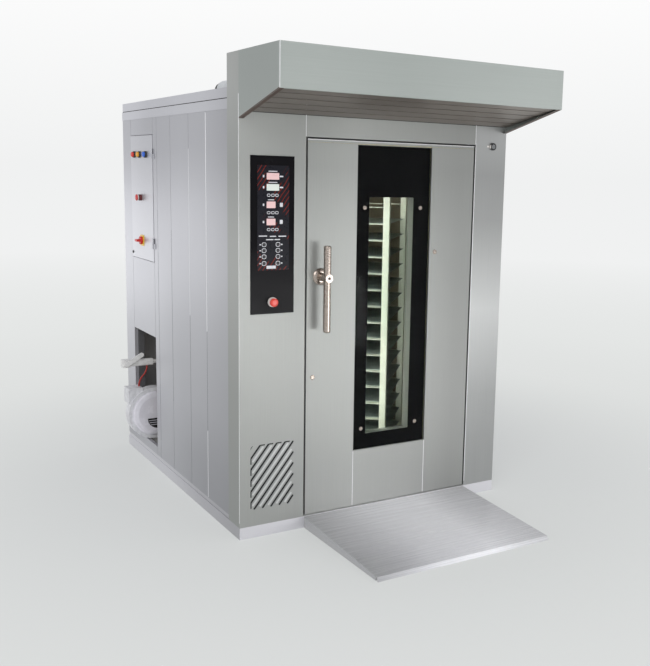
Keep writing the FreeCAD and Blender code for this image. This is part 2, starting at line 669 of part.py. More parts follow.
def door_frame():
    """Jamb liners, the sill, and the seat that the door gasket meets."""
    back = "chamber_front"
    seat_back = "chamber_front + stop_thick"
    inner = "front_face + sheet_thick"
    jamb_left = ("-half_opening - jamb_thick", "-half_opening")
    jamb_right = ("half_opening", "half_opening + jamb_thick")
    bolt_low = "handle_high - latch_side / 2 - door_gap"
    bolt_high = "handle_high + latch_side / 2 + door_gap"
    seat_top = "door_top - gasket_wide"
    keep("door_frame", group("door_frame", [
        block("jamb_left_low", *jamb_left, inner, back, "plinth_high", bolt_low),
        block("jamb_left_high", *jamb_left, inner, back, bolt_high, "opening_top"),
        block("jamb_right", *jamb_right, inner, back, "plinth_high", "opening_top"),
        block("head", "-half_opening - jamb_thick", "half_opening + jamb_thick", inner, back,
              "opening_top", "opening_top + jamb_thick"),
        block("sill", "-half_opening", "half_opening", "front_face", back, "plinth_high",
              "sill_high"),
        block("seat_left", "duct_outer - sheet_thick", "-stop_from_axis", back, seat_back,
              "sill_high", "ceiling_high"),
        block("seat_right", "stop_from_axis", "chamber_half + sheet_thick", back, seat_back,
              "sill_high", "ceiling_high"),
        block("seat_head", "-stop_from_axis", "stop_from_axis", back, seat_back, seat_top,
              "ceiling_high"),
    ]))


# ---- door ----

def door_skin():
    """The leaf's sheets: front, edges, inner liner and the frame of the window opening."""
    back = "front_face + sheet_thick"
    left = "glass_left - skin_seam"
    right = "glass_right + skin_seam"
    fold = "door_top - top_fold"
    left_sheet = block("skin_left_whole", "-door_half", left, "front_face", back, "door_low",
                       f"{fold} - skin_seam")
    hole = rod("skin_spindle_hole", "Y", "handle_side", "front_face - 1", "handle_high",
               "spindle_round + hinge_fit", "sheet_thick + 2")
    keep("door_skin", group("door_skin", door_edges() + window_reveals() + door_liner() + [
        cut("skin_left", left_sheet, hole),
        block("skin_right", right, "door_half", "front_face", back, "door_low",
              f"{fold} - skin_seam"),
        block("skin_bottom", "glass_left", "glass_right", "front_face", back, "door_low",
              "glass_low - skin_seam"),
        block("skin_top", "-door_half", "door_half", "front_face", back, fold, "door_top"),
    ]))


def latch_pocket(name):
    return block(name, "-door_half - 1", "-door_half + latch_long + latch_travel",
                 "front_face + door_thick / 2 - latch_side / 2 - seat_gap",
                 "front_face + door_thick / 2 + latch_side / 2 + seat_gap",
                 "handle_high - latch_side / 2 - seat_gap",
                 "handle_high + latch_side / 2 + seat_gap")


def pivot_socket(name, low):
    return rod(name, "Z", "hinge_side", "hinge_deep", low, "hinge_pin + hinge_fit",
               "hinge_reach + 1")


def door_edges():
    """The four edges of the leaf, with the latch slot and the pivots' bearing holes."""
    front, back = "front_face + sheet_thick", "door_back"
    inner = "door_half - sheet_thick"
    left = block("edge_left_whole", "-door_half", f"-({inner})", front, back, "door_low",
                 "door_top")
    low = block("edge_low_whole", f"-({inner})", inner, front, back, "door_low",
                "door_low + sheet_thick")
    top = block("edge_top_whole", f"-({inner})", inner, front, back, "door_top - sheet_thick",
                "door_top")
    return [
        cut("edge_left", left, latch_pocket("edge_latch_slot")),
        block("edge_right", inner, "door_half", front, back, "door_low", "door_top"),
        cut("edge_low", low, pivot_socket("edge_socket_low", "door_low - 1")),
        cut("edge_top", top, pivot_socket("edge_socket_top", "door_top - hinge_reach")),
    ]


def window_reveals():
    """Sheets round the outer pane's recess and round the clear opening behind it."""
    front, middle, back = "front_face + sheet_thick", "window_core_front", "door_back"
    wall = "sheet_thick"
    left, right = "glass_left - skin_seam", "glass_right + skin_seam"
    low, high = "glass_low", "glass_high"
    return [
        block("recess_left", f"{left} - {wall}", left, front, middle, low, high),
        block("recess_right", right, f"{right} + {wall}", front, middle, low, high),
        block("recess_low", left, right, front, middle, f"{low} - {wall}", low),
        block("recess_high", left, right, front, middle, high, f"{high} + {wall}"),
        block("reveal_left", f"clear_left - {wall}", "clear_left", middle, back, "clear_low",
              "clear_high"),
        block("reveal_right", "clear_right", f"clear_right + {wall}", middle, back, "clear_low",
              "clear_high"),
        block("reveal_low", f"clear_left - {wall}", f"clear_right + {wall}", middle, back,
              f"clear_low - {wall}", "clear_low"),
        block("reveal_high", f"clear_left - {wall}", f"clear_right + {wall}", middle, back,
              "clear_high", f"clear_high + {wall}"),
    ]


def door_core():
    """Mineral wool slabs inside the leaf, with room for the pivots, the latch and its spindle."""
    front, back = "front_face + sheet_thick", "door_back"
    wall = "sheet_thick"
    left, right = f"glass_left - skin_seam - {wall}", f"glass_right + skin_seam + {wall}"
    bottom, top = f"door_low + {wall}", f"door_top - {wall}"
    edge = f"door_half - {wall}"
    stile = block("core_left_whole", f"-({edge})", left, front, back, bottom, top)
    spindle = rod("spindle_bore", "Y", "handle_side", f"{front} - 1", "handle_high",
                  "spindle_round + hinge_fit", "door_thick / 2 + 1")
    hinge_stile = block("core_right_whole", right, edge, front, back, bottom, top)
    inner = "window_core_front"
    low, high = f"glass_low - {wall}", f"glass_high + {wall}"
    clear_left, clear_right = f"clear_left - {wall}", f"clear_right + {wall}"
    keep("door_core", group("door_core", [
        cut("core_left", stile, latch_pocket("core_latch_pocket"), spindle),
        cut("core_right", hinge_stile, pivot_socket("socket_low", "door_low - 1"),
            pivot_socket("socket_high", "door_top - hinge_reach")),
        block("core_bottom", left, right, front, back, bottom, low),
        block("core_top", left, right, front, back, high, top),
        block("core_window_left", left, clear_left, inner, back, low, high),
        block("core_window_right", clear_right, right, inner, back, low, high),
        block("core_window_low", clear_left, clear_right, inner, back, low,
              f"clear_low - {wall}"),
        block("core_window_high", clear_left, clear_right, inner, back,
              f"clear_high + {wall}", high),
    ]))


def door_liner():
    """The inner sheet of the leaf, round the window."""
    back = "door_back + inner_skin"
    return [
        block("liner_left", "-door_half", "clear_left", "door_back", back, "door_low",
              "door_top"),
        block("liner_right", "clear_right", "door_half", "door_back", back, "door_low",
              "door_top"),
        block("liner_low", "clear_left", "clear_right", "door_back", back, "door_low",
              "clear_low"),
        block("liner_high", "clear_left", "clear_right", "door_back", back, "clear_high",
              "door_top"),
    ]


def door_windows():
    keep("window_glass", group("window_glass", [block(
        "outer_pane", "glass_left + seat_gap", "glass_right - seat_gap", "glass_front",
        "glass_front + glass_thick", "glass_low + seat_gap", "glass_high - seat_gap"),
        block("inner_pane", "clear_left + seat_gap", "clear_right - seat_gap",
        "inner_glass_front", "inner_glass_front + glass_thick", "clear_low + seat_gap",
        "clear_high - seat_gap")]))
    back = "mask_front + mask_thick"
    left, right = "glass_left + seat_gap", "glass_right - seat_gap"
    low, high = "glass_low + seat_gap", "glass_high - seat_gap"
    keep("window_mask", group("window_mask", [
        block("mask_left", left, "clear_left", "mask_front", back, low, high),
        block("mask_right", "clear_right", right, "mask_front", back, low, high),
        block("mask_low", "clear_left", "clear_right", "mask_front", back, low, "clear_low"),
        block("mask_high", "clear_left", "clear_right", "mask_front", back, "clear_high", high),
    ]))


def door_gasket():
    """Silicone strips on the inner face; the lowest one wipes the sill."""
    front = "door_back + inner_skin"
    back = "chamber_front - seat_gap"
    edge = "stop_from_axis + gasket_wide"
    top = "door_top - 2"
    keep("door_gasket", group("door_gasket", [
        block("gasket_left", f"-({edge})", "-stop_from_axis", front, back, "door_low",
              "door_top - 2 - gasket_wide"),
        block("gasket_right", "stop_from_axis", edge, front, back, "door_low",
              "door_top - 2 - gasket_wide"),
        block("gasket_top", f"-({edge})", edge, front, back, f"{top} - gasket_wide", top),
        block("gasket_low", "-stop_from_axis", "stop_from_axis", front, back, "door_low",
              "door_low + gasket_wide"),
    ]))


def door_pivots():
    """Two pivot pins on the frame; the leaf turns on them."""
    low = "sill_high"
    return [
        rod("pivot_low", "Z", "hinge_side", "hinge_deep", low, "hinge_pin",
            "door_gap + hinge_reach - 2"),
        rod("pivot_high", "Z", "hinge_side", "hinge_deep",
            "opening_top - door_gap - hinge_reach + 2", "hinge_pin",
            "door_gap + hinge_reach - 2"),
    ]


def door_trim():
    """The rose under the handle, the window studs and two plugs in the skin."""
    rose = revolved("handle_rose", [
        ("rose_round", "0"), ("rose_round", "rose_proud * 0.4"),
        ("rose_round - 6", "rose_proud * 0.8"), ("rose_round - 16", "rose_proud")],
        "handle_side", "front_face", "handle_high", "-Y")
    bore = rod("rose_bore", "Y", "handle_side", "front_face - rose_proud - 1", "handle_high",
               "spindle_round + hinge_fit", "rose_proud + 2")
    pieces = [cut("rose", rose, bore)]
    for i, (x, z) in enumerate((("stud_left", "stud_high"), ("stud_right", "stud_high"),
                                ("stud_left", "stud_low"), ("stud_right", "stud_low"))):
        pieces.append(revolved(f"stud_{i + 1}", [
            ("stud_round", "0"), ("stud_round", "stud_proud / 2"),
            ("stud_round - 4", "stud_proud")], x, "glass_front", z, "-Y"))
    for i, (x, z) in enumerate((("plug_left", "plug_left_high"),
                                ("plug_right", "plug_right_high"))):
        pieces.append(revolved(f"plug_{i + 1}", [
            ("plug_round", "0"), ("plug_round", "plug_proud / 3"),
            ("plug_round - 4", "plug_proud")], x, "front_face", z, "-Y"))
    keep("door_trim", group("door_trim", pieces))


def door_handle():
    """A round bar on a capped boss; its spindle reaches the latch through the leaf."""
    low, high = "-bar_down", "bar_up"
    edge, waist = "bar_round - 2", "bar_round - seam_sink"
    steps = [("bar_round - 7", low), (edge, f"{low} + 3"), ("bar_round", f"{low} + 8")]
    for seam in ("-seam_down", "seam_up"):
        steps += [("bar_round", f"{seam} - seam_half"), (waist, f"{seam} - seam_half"),
                  (waist, f"{seam} + seam_half"), ("bar_round", f"{seam} + seam_half")]
    steps += [("bar_round", f"{high} - 8"), (edge, f"{high} - 3"), ("bar_round - 7", high)]
    bar = revolved("handle_bar", steps, "handle_side", "bar_deep", "handle_high", "Z")
    boss = rod("handle_boss", "Y", "handle_side", "bar_deep", "handle_high", "boss_round",
               "bar_out - rose_proud - seat_gap")
    cap_front = "bar_deep - bar_round - cap_proud"
    cap = rod("handle_cap", "Y", "handle_side", cap_front, "handle_high", "boss_round",
              "bar_round + cap_proud")
    dimple = rod("handle_dimple", "Y", "handle_side", f"{cap_front} - dimple_deep",
                 "handle_high", "dimple_round", "2 * dimple_deep")
    spindle = rod("handle_spindle", "Y", "handle_side", "bar_deep", "handle_high",
                  "spindle_round", "bar_out + door_thick / 2 - latch_side / 2 - 1")
    keep("door_handle", cut("door_handle", fuse("handle_whole", bar, boss, cap, spindle),
                            dimple))


def latch_bolt():
    bolt = block("bolt", "-door_half - latch_out", "-door_half + latch_long",
                 "front_face + door_thick / 2 - latch_side / 2",
                 "front_face + door_thick / 2 + latch_side / 2",
                 "handle_high - latch_side / 2", "handle_high + latch_side / 2")
    keep("latch_bolt", bolt)


# ---- controls on the front ----

def control_panel():
    """The glass plate, the key film on it, its displays and keys, and the stop button's collar."""
    glass = block("panel_glass", "panel_left", "panel_right", "front_face - panel_proud",
                  "front_face - panel_proud + panel_thick", "panel_low_z", "panel_high_z")
    hole = rod("estop_hole", "Y", "estop_side", "front_face - panel_proud - 1", "estop_high",
               "estop_stem + seat_gap", "panel_thick + 2")
    keep("control_glass", cut("control_glass", glass, hole))
    film_front = "front_face - panel_proud - film_thick"
    film = block("film_sheet", "film_left", "film_right", film_front,
                 "front_face - panel_proud", "film_low", "film_high")
    front = f"{film_front} - key_proud"
    displays = [("1", "wide_display"), ("2", "wide_display"), ("3", "small_display"),
                ("4", "small_display")]
    keys = [block(f"display_{row}", "column_left", f"column_left + {wide}", front, film_front,
                  f"display_{row}", f"display_{row} + display_high")
            for row, wide in displays]
    keys += [block(f"bar_key_{row}", "column_left", "column_left + wide_display", front,
                  film_front, f"bar_row_{row}", f"bar_row_{row} + bar_key_high")
            for row in range(1, 5)]
    for row in range(1, 5):
        for side in ("left", "right"):
            centre = f"column_{side}"
            low = f"button_row_{row} - button_high / 2"
            keys.append(block(f"key_{side}_{row}", f"{centre} - button_wide / 2",
                              f"{centre} + button_wide / 2", front, film_front, low,
                              f"{low} + button_high"))
    keep("control_film", group("control_film", [film] + keys))


def stop_button():
    """The stop button: a collar on the glass and a mushroom head on a stem."""
    face = "front_face - panel_proud"
    collar = rod("collar_round", "Y", "estop_side", f"{face} - estop_collar_thick",
                 "estop_high", "estop_collar", "estop_collar_thick")
    bore = rod("collar_bore", "Y", "estop_side", f"{face} - estop_collar_thick - 1",
               "estop_high", "estop_stem + hinge_fit", "estop_collar_thick + 2")
    fixed = [cut("estop_collar", collar, bore)]
    base = "estop_collar_thick + estop_travel + seat_gap"
    top = f"{base} + estop_head"
    keep("estop_button", revolved("estop_button", [
        ("estop_stem", "-panel_thick"), ("estop_stem", base), ("estop_round - 2", base),
        ("estop_round", f"{base} + 3"), ("estop_round", f"{top} - 5"),
        ("estop_round - 4", f"{top} - 1"), ("estop_round - 9", top)],
        "estop_side", face, "estop_high", "-Y"))
    return fixed


def lamp_switch(fixed):
    """The chamber lamp's push button at the top of the right pillar."""
    bezel = rod("bezel_round", "Y", "lamp_side", "front_face - lamp_bezel_thick", "lamp_high",
                "lamp_bezel", "lamp_bezel_thick")
    bore = rod("bezel_bore", "Y", "lamp_side", "front_face - lamp_bezel_thick - 1", "lamp_high",
               "lamp_button + hinge_fit", "lamp_bezel_thick + 2")
    keep("switch_bezels", group("switch_bezels", fixed + [
        cut("lamp_bezel_ring", bezel, bore),
        block("lamp_label", "lamp_label_left", "lamp_label_left + lamp_label_wide",
              "front_face - 1", "front_face", "lamp_high - lamp_label_high / 2",
              "lamp_high + lamp_label_high / 2"),
    ]))
    front = "lamp_bezel_thick + lamp_travel"
    keep("lamp_switch_button", revolved("lamp_switch_button", [
        ("lamp_button", f"{front} - lamp_button_long"), ("lamp_button", f"{front} - 1.5"),
        ("lamp_button - 1.5", front)], "lamp_side", "front_face", "lamp_high", "-Y"))


def front_switches():
    lamp_switch(stop_button())


# ---- hood ----

def hood_shell():
    """The canopy over the door: front, top and two cheeks with turned-in lower edges."""
    left_in, right_in = "left_face + sheet_thick", "right_face - sheet_thick"
    front_in = "hood_front + sheet_thick"
    cheek = outline(("hood_front", "hood_low"), ("front_face", "cheek_low"),
                    ("front_face", "fascia_high"), ("hood_front", "fascia_high"))
    flange = outline((front_in, "hood_low + 0.5"), ("front_face", "cheek_low"),
                     ("front_face", "cheek_low + sheet_thick"),
                     (front_in, "hood_low + sheet_thick + 0.5"))
    keep("hood_shell", group("hood_shell", [
        block("hood_front_sheet", left_in, right_in, "hood_front", front_in, "hood_low",
              "fascia_high"),
        block("hood_top", left_in, right_in, front_in, "front_face",
              "fascia_high - sheet_thick", "fascia_high"),
        block("hood_lip", "left_face + hood_flange", "right_face - hood_flange", front_in,
              "hood_front + hood_flange", "hood_low", "hood_low + sheet_thick"),
        padded_body("cheek_left", "YZ_Plane", cheek, "sheet_thick",
                  "left_face"),
        padded_body("cheek_right", "YZ_Plane", cheek, "sheet_thick", right_in),
        padded_body("flange_left", "YZ_Plane", flange,
                  "hood_flange - sheet_thick", left_in),
        padded_body("flange_right", "YZ_Plane", flange,
                  "hood_flange - sheet_thick", "right_face - hood_flange"),
    ]))


def hood_slats():
    """Slats under the hood that slope down to the fascia; steam rises between them."""
    slats = []
    for i in range(int(size("slats"))):
        near = f"slat_first + {i} * (slat_wide + slat_gap)"
        far = f"{near} + slat_wide"
        points = outline(
            (f"hood_front + {near}", f"slat_front_z - ({near}) * slat_rise"),
            (f"hood_front + {far}", f"slat_front_z - ({far}) * slat_rise"),
            (f"hood_front + {far}", f"slat_front_z - ({far}) * slat_rise + sheet_thick"),
            (f"hood_front + {near}", f"slat_front_z - ({near}) * slat_rise + sheet_thick"))
        slats.append(padded_body(f"slat_{i + 1}", "YZ_Plane", points,
                               "right_face - left_face - 2 * sheet_thick",
                               "left_face + sheet_thick"))
    keep("hood_slats", group("hood_slats", slats))


# ---- rack and its drive ----

def rack_gearmotor():
    box = block("gearbox_case", "-gearbox_half", "gearbox_half", "-gearbox_half",
                "gearbox_half", "deck_top", "deck_top + gearbox_high")
    motor = rod("rack_motor", "Y", "0", "gearbox_half - 1", "deck_top + rack_motor_round + 2",
                "rack_motor_round", "rack_motor_long")
    bore = rod("gearbox_bore", "Z", "0", "0", "deck_top - 5", "sleeve_round + shaft_fit",
               "gearbox_high + 20")
    keep("rack_gearmotor", cut("rack_gearmotor", fuse("gearbox_and_motor", box, motor), bore))


def rack_shaft():
    """The hollow shaft that the gearmotor turns, with the collar that holds it up."""
    sleeve = rod("sleeve_outer", "Z", "0", "0", "sleeve_low", "sleeve_round",
                 "deck_top + gearbox_high + 20 - sleeve_low")
    collar = rod("sleeve_collar", "Z", "0", "0", "deck_top + gearbox_high + seat_gap",
                 "sleeve_round + 12", "12")
    bore = rod("sleeve_bore", "Z", "0", "0", "sleeve_low - 1", "hanger_round + shaft_fit",
               "deck_top + gearbox_high + 30 - sleeve_low")
    keep("rack_shaft", cut("rack_shaft", fuse("sleeve_and_collar", sleeve, collar), bore))


def rack_hanger():
    """The lifting rod and the yoke that takes the rack's top bar."""
    rod_piece = rod("hanger_rod", "Z", "0", "0", "rack_high + hanger_high - 1", "hanger_round",
                    "hanger_top - rack_high - hanger_high + 1")
    yoke = block("hanger_yoke", "-hanger_half", "hanger_half", "-rack_tube / 2",
                 "rack_tube / 2", "rack_high", "rack_high + hanger_high")
    return fuse("rack_hanger", rod_piece, yoke)


def turned(item):
    """Turn a rack piece about the rack's axis to where the rack has stopped."""
    item.Placement = FreeCAD.Placement(FreeCAD.Vector(0, 0, 0),
                                       FreeCAD.Rotation(FreeCAD.Vector(0, 0, 1), 1))
    bind(item, "Placement.Rotation.Angle", "rack_turn")
    return item


def rack_frame():
    """Corner tubes, top and bottom rings, a pair of ledges for each tray, and the hanger."""
    wide, deep, square = "rack_half_wide", "rack_half_deep", "rack_tube"
    bars = []
    for sx in ("-", ""):
        for sy in ("-", ""):
            x = f"{sx}({wide} - {square} / 2) - {square} / 2"
            y = f"{sy}({deep} - {square} / 2) - {square} / 2"
            bars.append(block(f"rack_post_{len(bars) + 1}", x, f"{x} + {square}", y,
                              f"{y} + {square}", "rack_low", "rack_high"))
    for end, low in (("low", "rack_low"), ("top", f"rack_high - {square}")):
        for side in ("-", ""):
            y = f"{side}({deep} - {square} / 2) - {square} / 2"
            x = f"{side}({wide} - {square} / 2) - {square} / 2"
            number = 1 if side else 2
            bars.append(block(f"rack_cross_{end}_{number}", f"-({wide} - {square})",
                              f"{wide} - {square}", y, f"{y} + {square}", low,
                              f"{low} + {square}"))
            bars.append(block(f"rack_side_{end}_{number}", x, f"{x} + {square}",
                              f"-({deep} - {square})", f"{deep} - {square}", low,
                              f"{low} + {square}"))
    bars.append(block("rack_top_bar", f"-({wide} - {square})", f"{wide} - {square}",
                      f"-{square} / 2", f"{square} / 2", f"rack_high - {square}",
                      "rack_high"))
    for i in range(int(size("shelves"))):
        low = f"shelf_first + {i} * shelf_pitch"
        for side in ("-", ""):
            x = f"{side}({wide} - shelf_wide / 2 - 2) - shelf_wide / 2"
            bars.append(block(f"shelf_{i + 1}_{1 if side else 2}", x, f"{x} + shelf_wide",
                              f"-({deep} - {square})", f"{deep} - {square}",
                              f"{low} - shelf_thick", low))
    for i, (x, y) in enumerate(castor_places()):
        bars.append(block(f"castor_pad_{i + 1}", f"{x} - 40", f"{x} + 40", f"{y} - 40",
                          f"{y} + 40", "rack_low - castor_plate", "rack_low"))
    turned(keep("rack_frame", group("rack_frame", bars + castors() + [rack_hanger()])))


def castor_places():
    return [(f"{sx}castor_side", f"{sy}castor_deep") for sy in ("-", "") for sx in ("-", "")]


def baking_sheets():
    """One flat sheet on each pair of ledges but the top one."""
    sheets = []
    for i in range(int(size("shelves")) - 1):
        low = f"shelf_first + {i} * shelf_pitch"
        sheets.append(block(f"baking_sheet_{i + 1}", "-sheet_half_wide", "sheet_half_wide",
                            "-sheet_half_deep", "sheet_half_deep", low,
                            f"{low} + tray_thick"))
    turned(keep("baking_sheets", group("baking_sheets", sheets)))


def castors():
    """Two fixed and two swivel castors; each wheel turns on its own axle."""
    fixed_forks = []
    plate_low = "rack_low - castor_plate - 6"
    for i, (x, y) in enumerate(castor_places()):
        number = i + 1
        swivels = i < 2
        trail = "castor_trail" if swivels else "0"
        wheel_y = f"({y}) - {trail}"
        half = "wheel_wide / 2 + fork_gap"
        gap = "seat_gap" if swivels else "0"
        top = f"rack_low - castor_plate - {gap}"
        pieces = [block(f"fork_plate_{number}", f"({x}) - ({half}) - fork_thick",
                        f"({x}) + {half} + fork_thick", f"({y}) - {trail} - 18",
                        f"({y}) + 22", plate_low, top)]
        for side in ("-", "+"):
            low_x = f"({x}) {side} ({half} + fork_thick / 2) - fork_thick / 2"
            pieces.append(block(f"fork_cheek_{number}_{'a' if side == '-' else 'b'}", low_x,
                                f"{low_x} + fork_thick", f"{wheel_y} - 16",
                                f"{wheel_y} + 16", "wheel_centre - 14", plate_low))
        pieces.append(rod(f"axle_{number}", "X", f"({x}) - ({half}) - fork_thick", wheel_y,
                          "wheel_centre", "axle_round", f"2 * ({half} + fork_thick)"))
        fork = fuse(f"fork_{number}", *pieces)
        if swivels:
            bore = rod(f"kingpin_bore_{number}", "Z", x, y, f"{plate_low} - 1",
                       "kingpin_round + hinge_fit", "10")
            turned(keep(f"castor_fork_{number}", cut(f"castor_fork_{number}", fork, bore)))
            fixed_forks.append(rod(f"kingpin_{number}", "Z", x, y, plate_low,
                                   "kingpin_round", "6"))
        else:
            fixed_forks.append(fork)
        wheel = rod(f"wheel_round_{number}", "X", f"({x}) - wheel_wide / 2", wheel_y,
                    "wheel_centre", "wheel_round", "wheel_wide")
        bore = rod(f"wheel_bore_{number}", "X", f"({x}) - wheel_wide / 2 - 1", wheel_y,
                   "wheel_centre", "axle_round + hinge_fit", "wheel_wide + 2")
        turned(keep(f"castor_wheel_{number}", cut(f"castor_wheel_{number}", wheel, bore)))
    return fixed_forks


# ---- fan and its belt drive ----

def fan_case():
    """Flat plates round the fan, open at the inlet and at the side of the air duct."""
    left, right = "fan_side - fan_case_half", "fan_side + fan_case_half"
    low, high = "fan_high - fan_case_half", "fan_high + fan_case_half"
    back = "fan_case_front + fan_case_deep"
    front_plate = block("case_front_whole", left, right, "fan_case_front",
                        "fan_case_front + sheet_thick", low, high)
    inlet = rod("case_inlet", "Y", "fan_side", "fan_case_front - 1", "fan_high", "fan_inlet",
                "sheet_thick + 2")
    back_plate = block("case_back_whole", left, right, f"{back} - sheet_thick", back, low, high)
    passage = rod("case_shaft_hole", "Y", "fan_side", f"{back} - sheet_thick - 1", "fan_high",
                  "fan_shaft + 2", "sheet_thick + 2")
    inner = ("fan_case_front + sheet_thick", f"{back} - sheet_thick")
    keep("fan_case", group("fan_case", [
        cut("case_front", front_plate, inlet),
        cut("case_back", back_plate, passage),
        block("case_floor", left, right, *inner, low, f"{low} + sheet_thick"),
        block("case_roof", left, right, *inner, f"{high} - sheet_thick", high),
        block("case_side", f"{right} - sheet_thick", right, *inner, f"{low} + sheet_thick",
              f"{high} - sheet_thick"),
        block("case_foot_1", left, f"{left} + 30", "chamber_half + sheet_thick",
              "fan_case_front", low, high),
        block("case_foot_2", f"{right} - 30", right, "chamber_half + sheet_thick",
              "fan_case_front", low, high),
    ] + fan_bearing()))


def circulation_fan():
    """A bladed wheel on its shaft, with the large pulley at the rear."""
    disc = rod("fan_disc", "Y", "fan_side", "fan_front + fan_deep - fan_plate",
               "fan_high", "fan_round", "fan_plate")
    shaft = rod("fan_shaft_bar", "Y", "fan_side", "fan_front + fan_inset", "fan_high",
                "fan_shaft", "pulley_front + pulley_wide + shaft_tail - fan_front - fan_inset")
    hub = rod("fan_hub_round", "Y", "fan_side", "fan_front + fan_deep - hub_back", "fan_high",
              "fan_hub", "hub_long")
    blades = []
    count = int(size("fan_blades"))
    for i in range(count):
        blade = doc.addObject("Part::Box", f"fan_blade_{i + 1}")
        blade.Placement = FreeCAD.Placement(FreeCAD.Vector(0, 0, 0),
                                            FreeCAD.Rotation(FreeCAD.Vector(0, 1, 0), 1))
        bind(blade, "Placement.Rotation.Angle", f"{i} * 360 / {count}")
        bind(blade, "Length", "fan_round * 0.42")
        bind(blade, "Width", "fan_deep - 4 - 10")
        bind(blade, "Height", "3")
        turn = f"({i} * 360 / {count} * 1deg)"
        put(blade, f"fan_side + fan_round * 0.55 * cos{turn}", "fan_front + 10",
            f"fan_high - fan_round * 0.55 * sin{turn}")
        blades.append(blade)
    pulley = rod("fan_pulley_round", "Y", "fan_side", "pulley_front", "fan_high", "fan_pulley",
                 "pulley_wide")
    wheel = fuse("fan_wheel", disc, shaft, hub, *blades)
    groove_bore = rod("fan_pulley_bore", "Y", "fan_side", "pulley_front - 1", "fan_high",
                      "fan_shaft", "pulley_wide + 2")
    keep("circulation_fan", group("circulation_fan", [
        wheel, cut("fan_pulley_ring", pulley, groove_bore)]))


def fan_bearing():
    """The bearing block behind the fan case, on a bracket from the case's back plate."""
    block_piece = block("bearing_block", "fan_side - bearing_half", "fan_side + bearing_half",
                        "bearing_front", "bearing_front + bearing_deep",
                        "fan_high - bearing_half", "fan_high + bearing_half")
    bracket = block("bearing_bracket", "fan_side - bearing_half", "fan_side + bearing_half",
                    "fan_case_front + fan_case_deep", "bearing_front + bearing_deep",
                    "fan_high - bearing_half - 12", "fan_high - bearing_half")
    bore = rod("bearing_bore", "Y", "fan_side", "bearing_front - 1", "fan_high",
               "fan_shaft + hinge_fit", "bearing_deep + 2")
    return [cut("bearing", block_piece, bore), bracket]


def fan_motor():
    """The circulation fan's motor, on a plinth on the roof."""
    case = rod("motor_case", "Y", "fan_side", "motor_front", "motor_high", "motor_round",
               "motor_long")
    foot = block("motor_foot_block", "fan_side - motor_foot", "fan_side + motor_foot",
                 "motor_front + 50", "motor_front + motor_long - 50", "deck_top", "motor_high")
    bore = rod("motor_bore", "Y", "fan_side", "motor_front + motor_long - 30", "motor_high",
               "motor_shaft + hinge_fit", "40")
    keep("fan_motor", cut("fan_motor", fuse("motor_and_foot", case, foot), bore))
    shaft = rod("motor_shaft_bar", "Y", "fan_side", "motor_front + motor_long - 28",
                "motor_high", "motor_shaft",
                "pulley_front + pulley_wide - motor_front - motor_long + 28")
    pulley = rod("motor_pulley_round", "Y", "fan_side", "pulley_front", "motor_high",
                 "motor_pulley", "pulley_wide")
    keep("motor_pulley", fuse("motor_pulley", shaft, pulley))


def belt_outline(low_z, high_z, low_radius, high_radius):
    """The wire round two pulleys: two arcs and the straight runs that touch both."""
    x = size("fan_side")
    y = size("pulley_front") + (size("pulley_wide") - size("belt_wide")) / 2
    apart = high_z - low_z
    lean = math.asin((low_radius - high_radius) / apart)
    def on(centre, radius, angle):
        return FreeCAD.Vector(x + radius * math.cos(angle), y, centre + radius * math.sin(angle))
    right_low, left_low = on(low_z, low_radius, lean), on(low_z, low_radius, math.pi - lean)
    right_high = on(high_z, high_radius, lean)
    left_high = on(high_z, high_radius, math.pi - lean)
    return Part.Wire([
        Part.LineSegment(right_low, right_high).toShape(),
        Part.Arc(right_high, on(high_z, high_radius, math.pi / 2), left_high).toShape(),
        Part.LineSegment(left_high, left_low).toShape(),
        Part.Arc(left_low, on(low_z, low_radius, -math.pi / 2), right_low).toShape(),
    ])


def drive_belt():
    """A belt round both pulleys, cut from two faces because its runs lean."""
    gap, thick = size("seat_gap"), size("belt_thick")
    low_z, high_z = size("fan_high"), size("motor_high")
    inner_low, inner_high = size("fan_pulley") + gap, size("motor_pulley") + gap
    outer = Part.Face(belt_outline(low_z, high_z, inner_low + thick, inner_high + thick))
    inner = Part.Face(belt_outline(low_z, high_z, inner_low, inner_high))
    band = outer.cut(inner).extrude(FreeCAD.Vector(0, size("belt_wide"), 0))
    item = doc.addObject("Part::Feature", "drive_belt")
    item.Shape = band.Solids[0]
    keep("drive_belt", item)


# ---- heat exchanger, flue and steam pipe ----

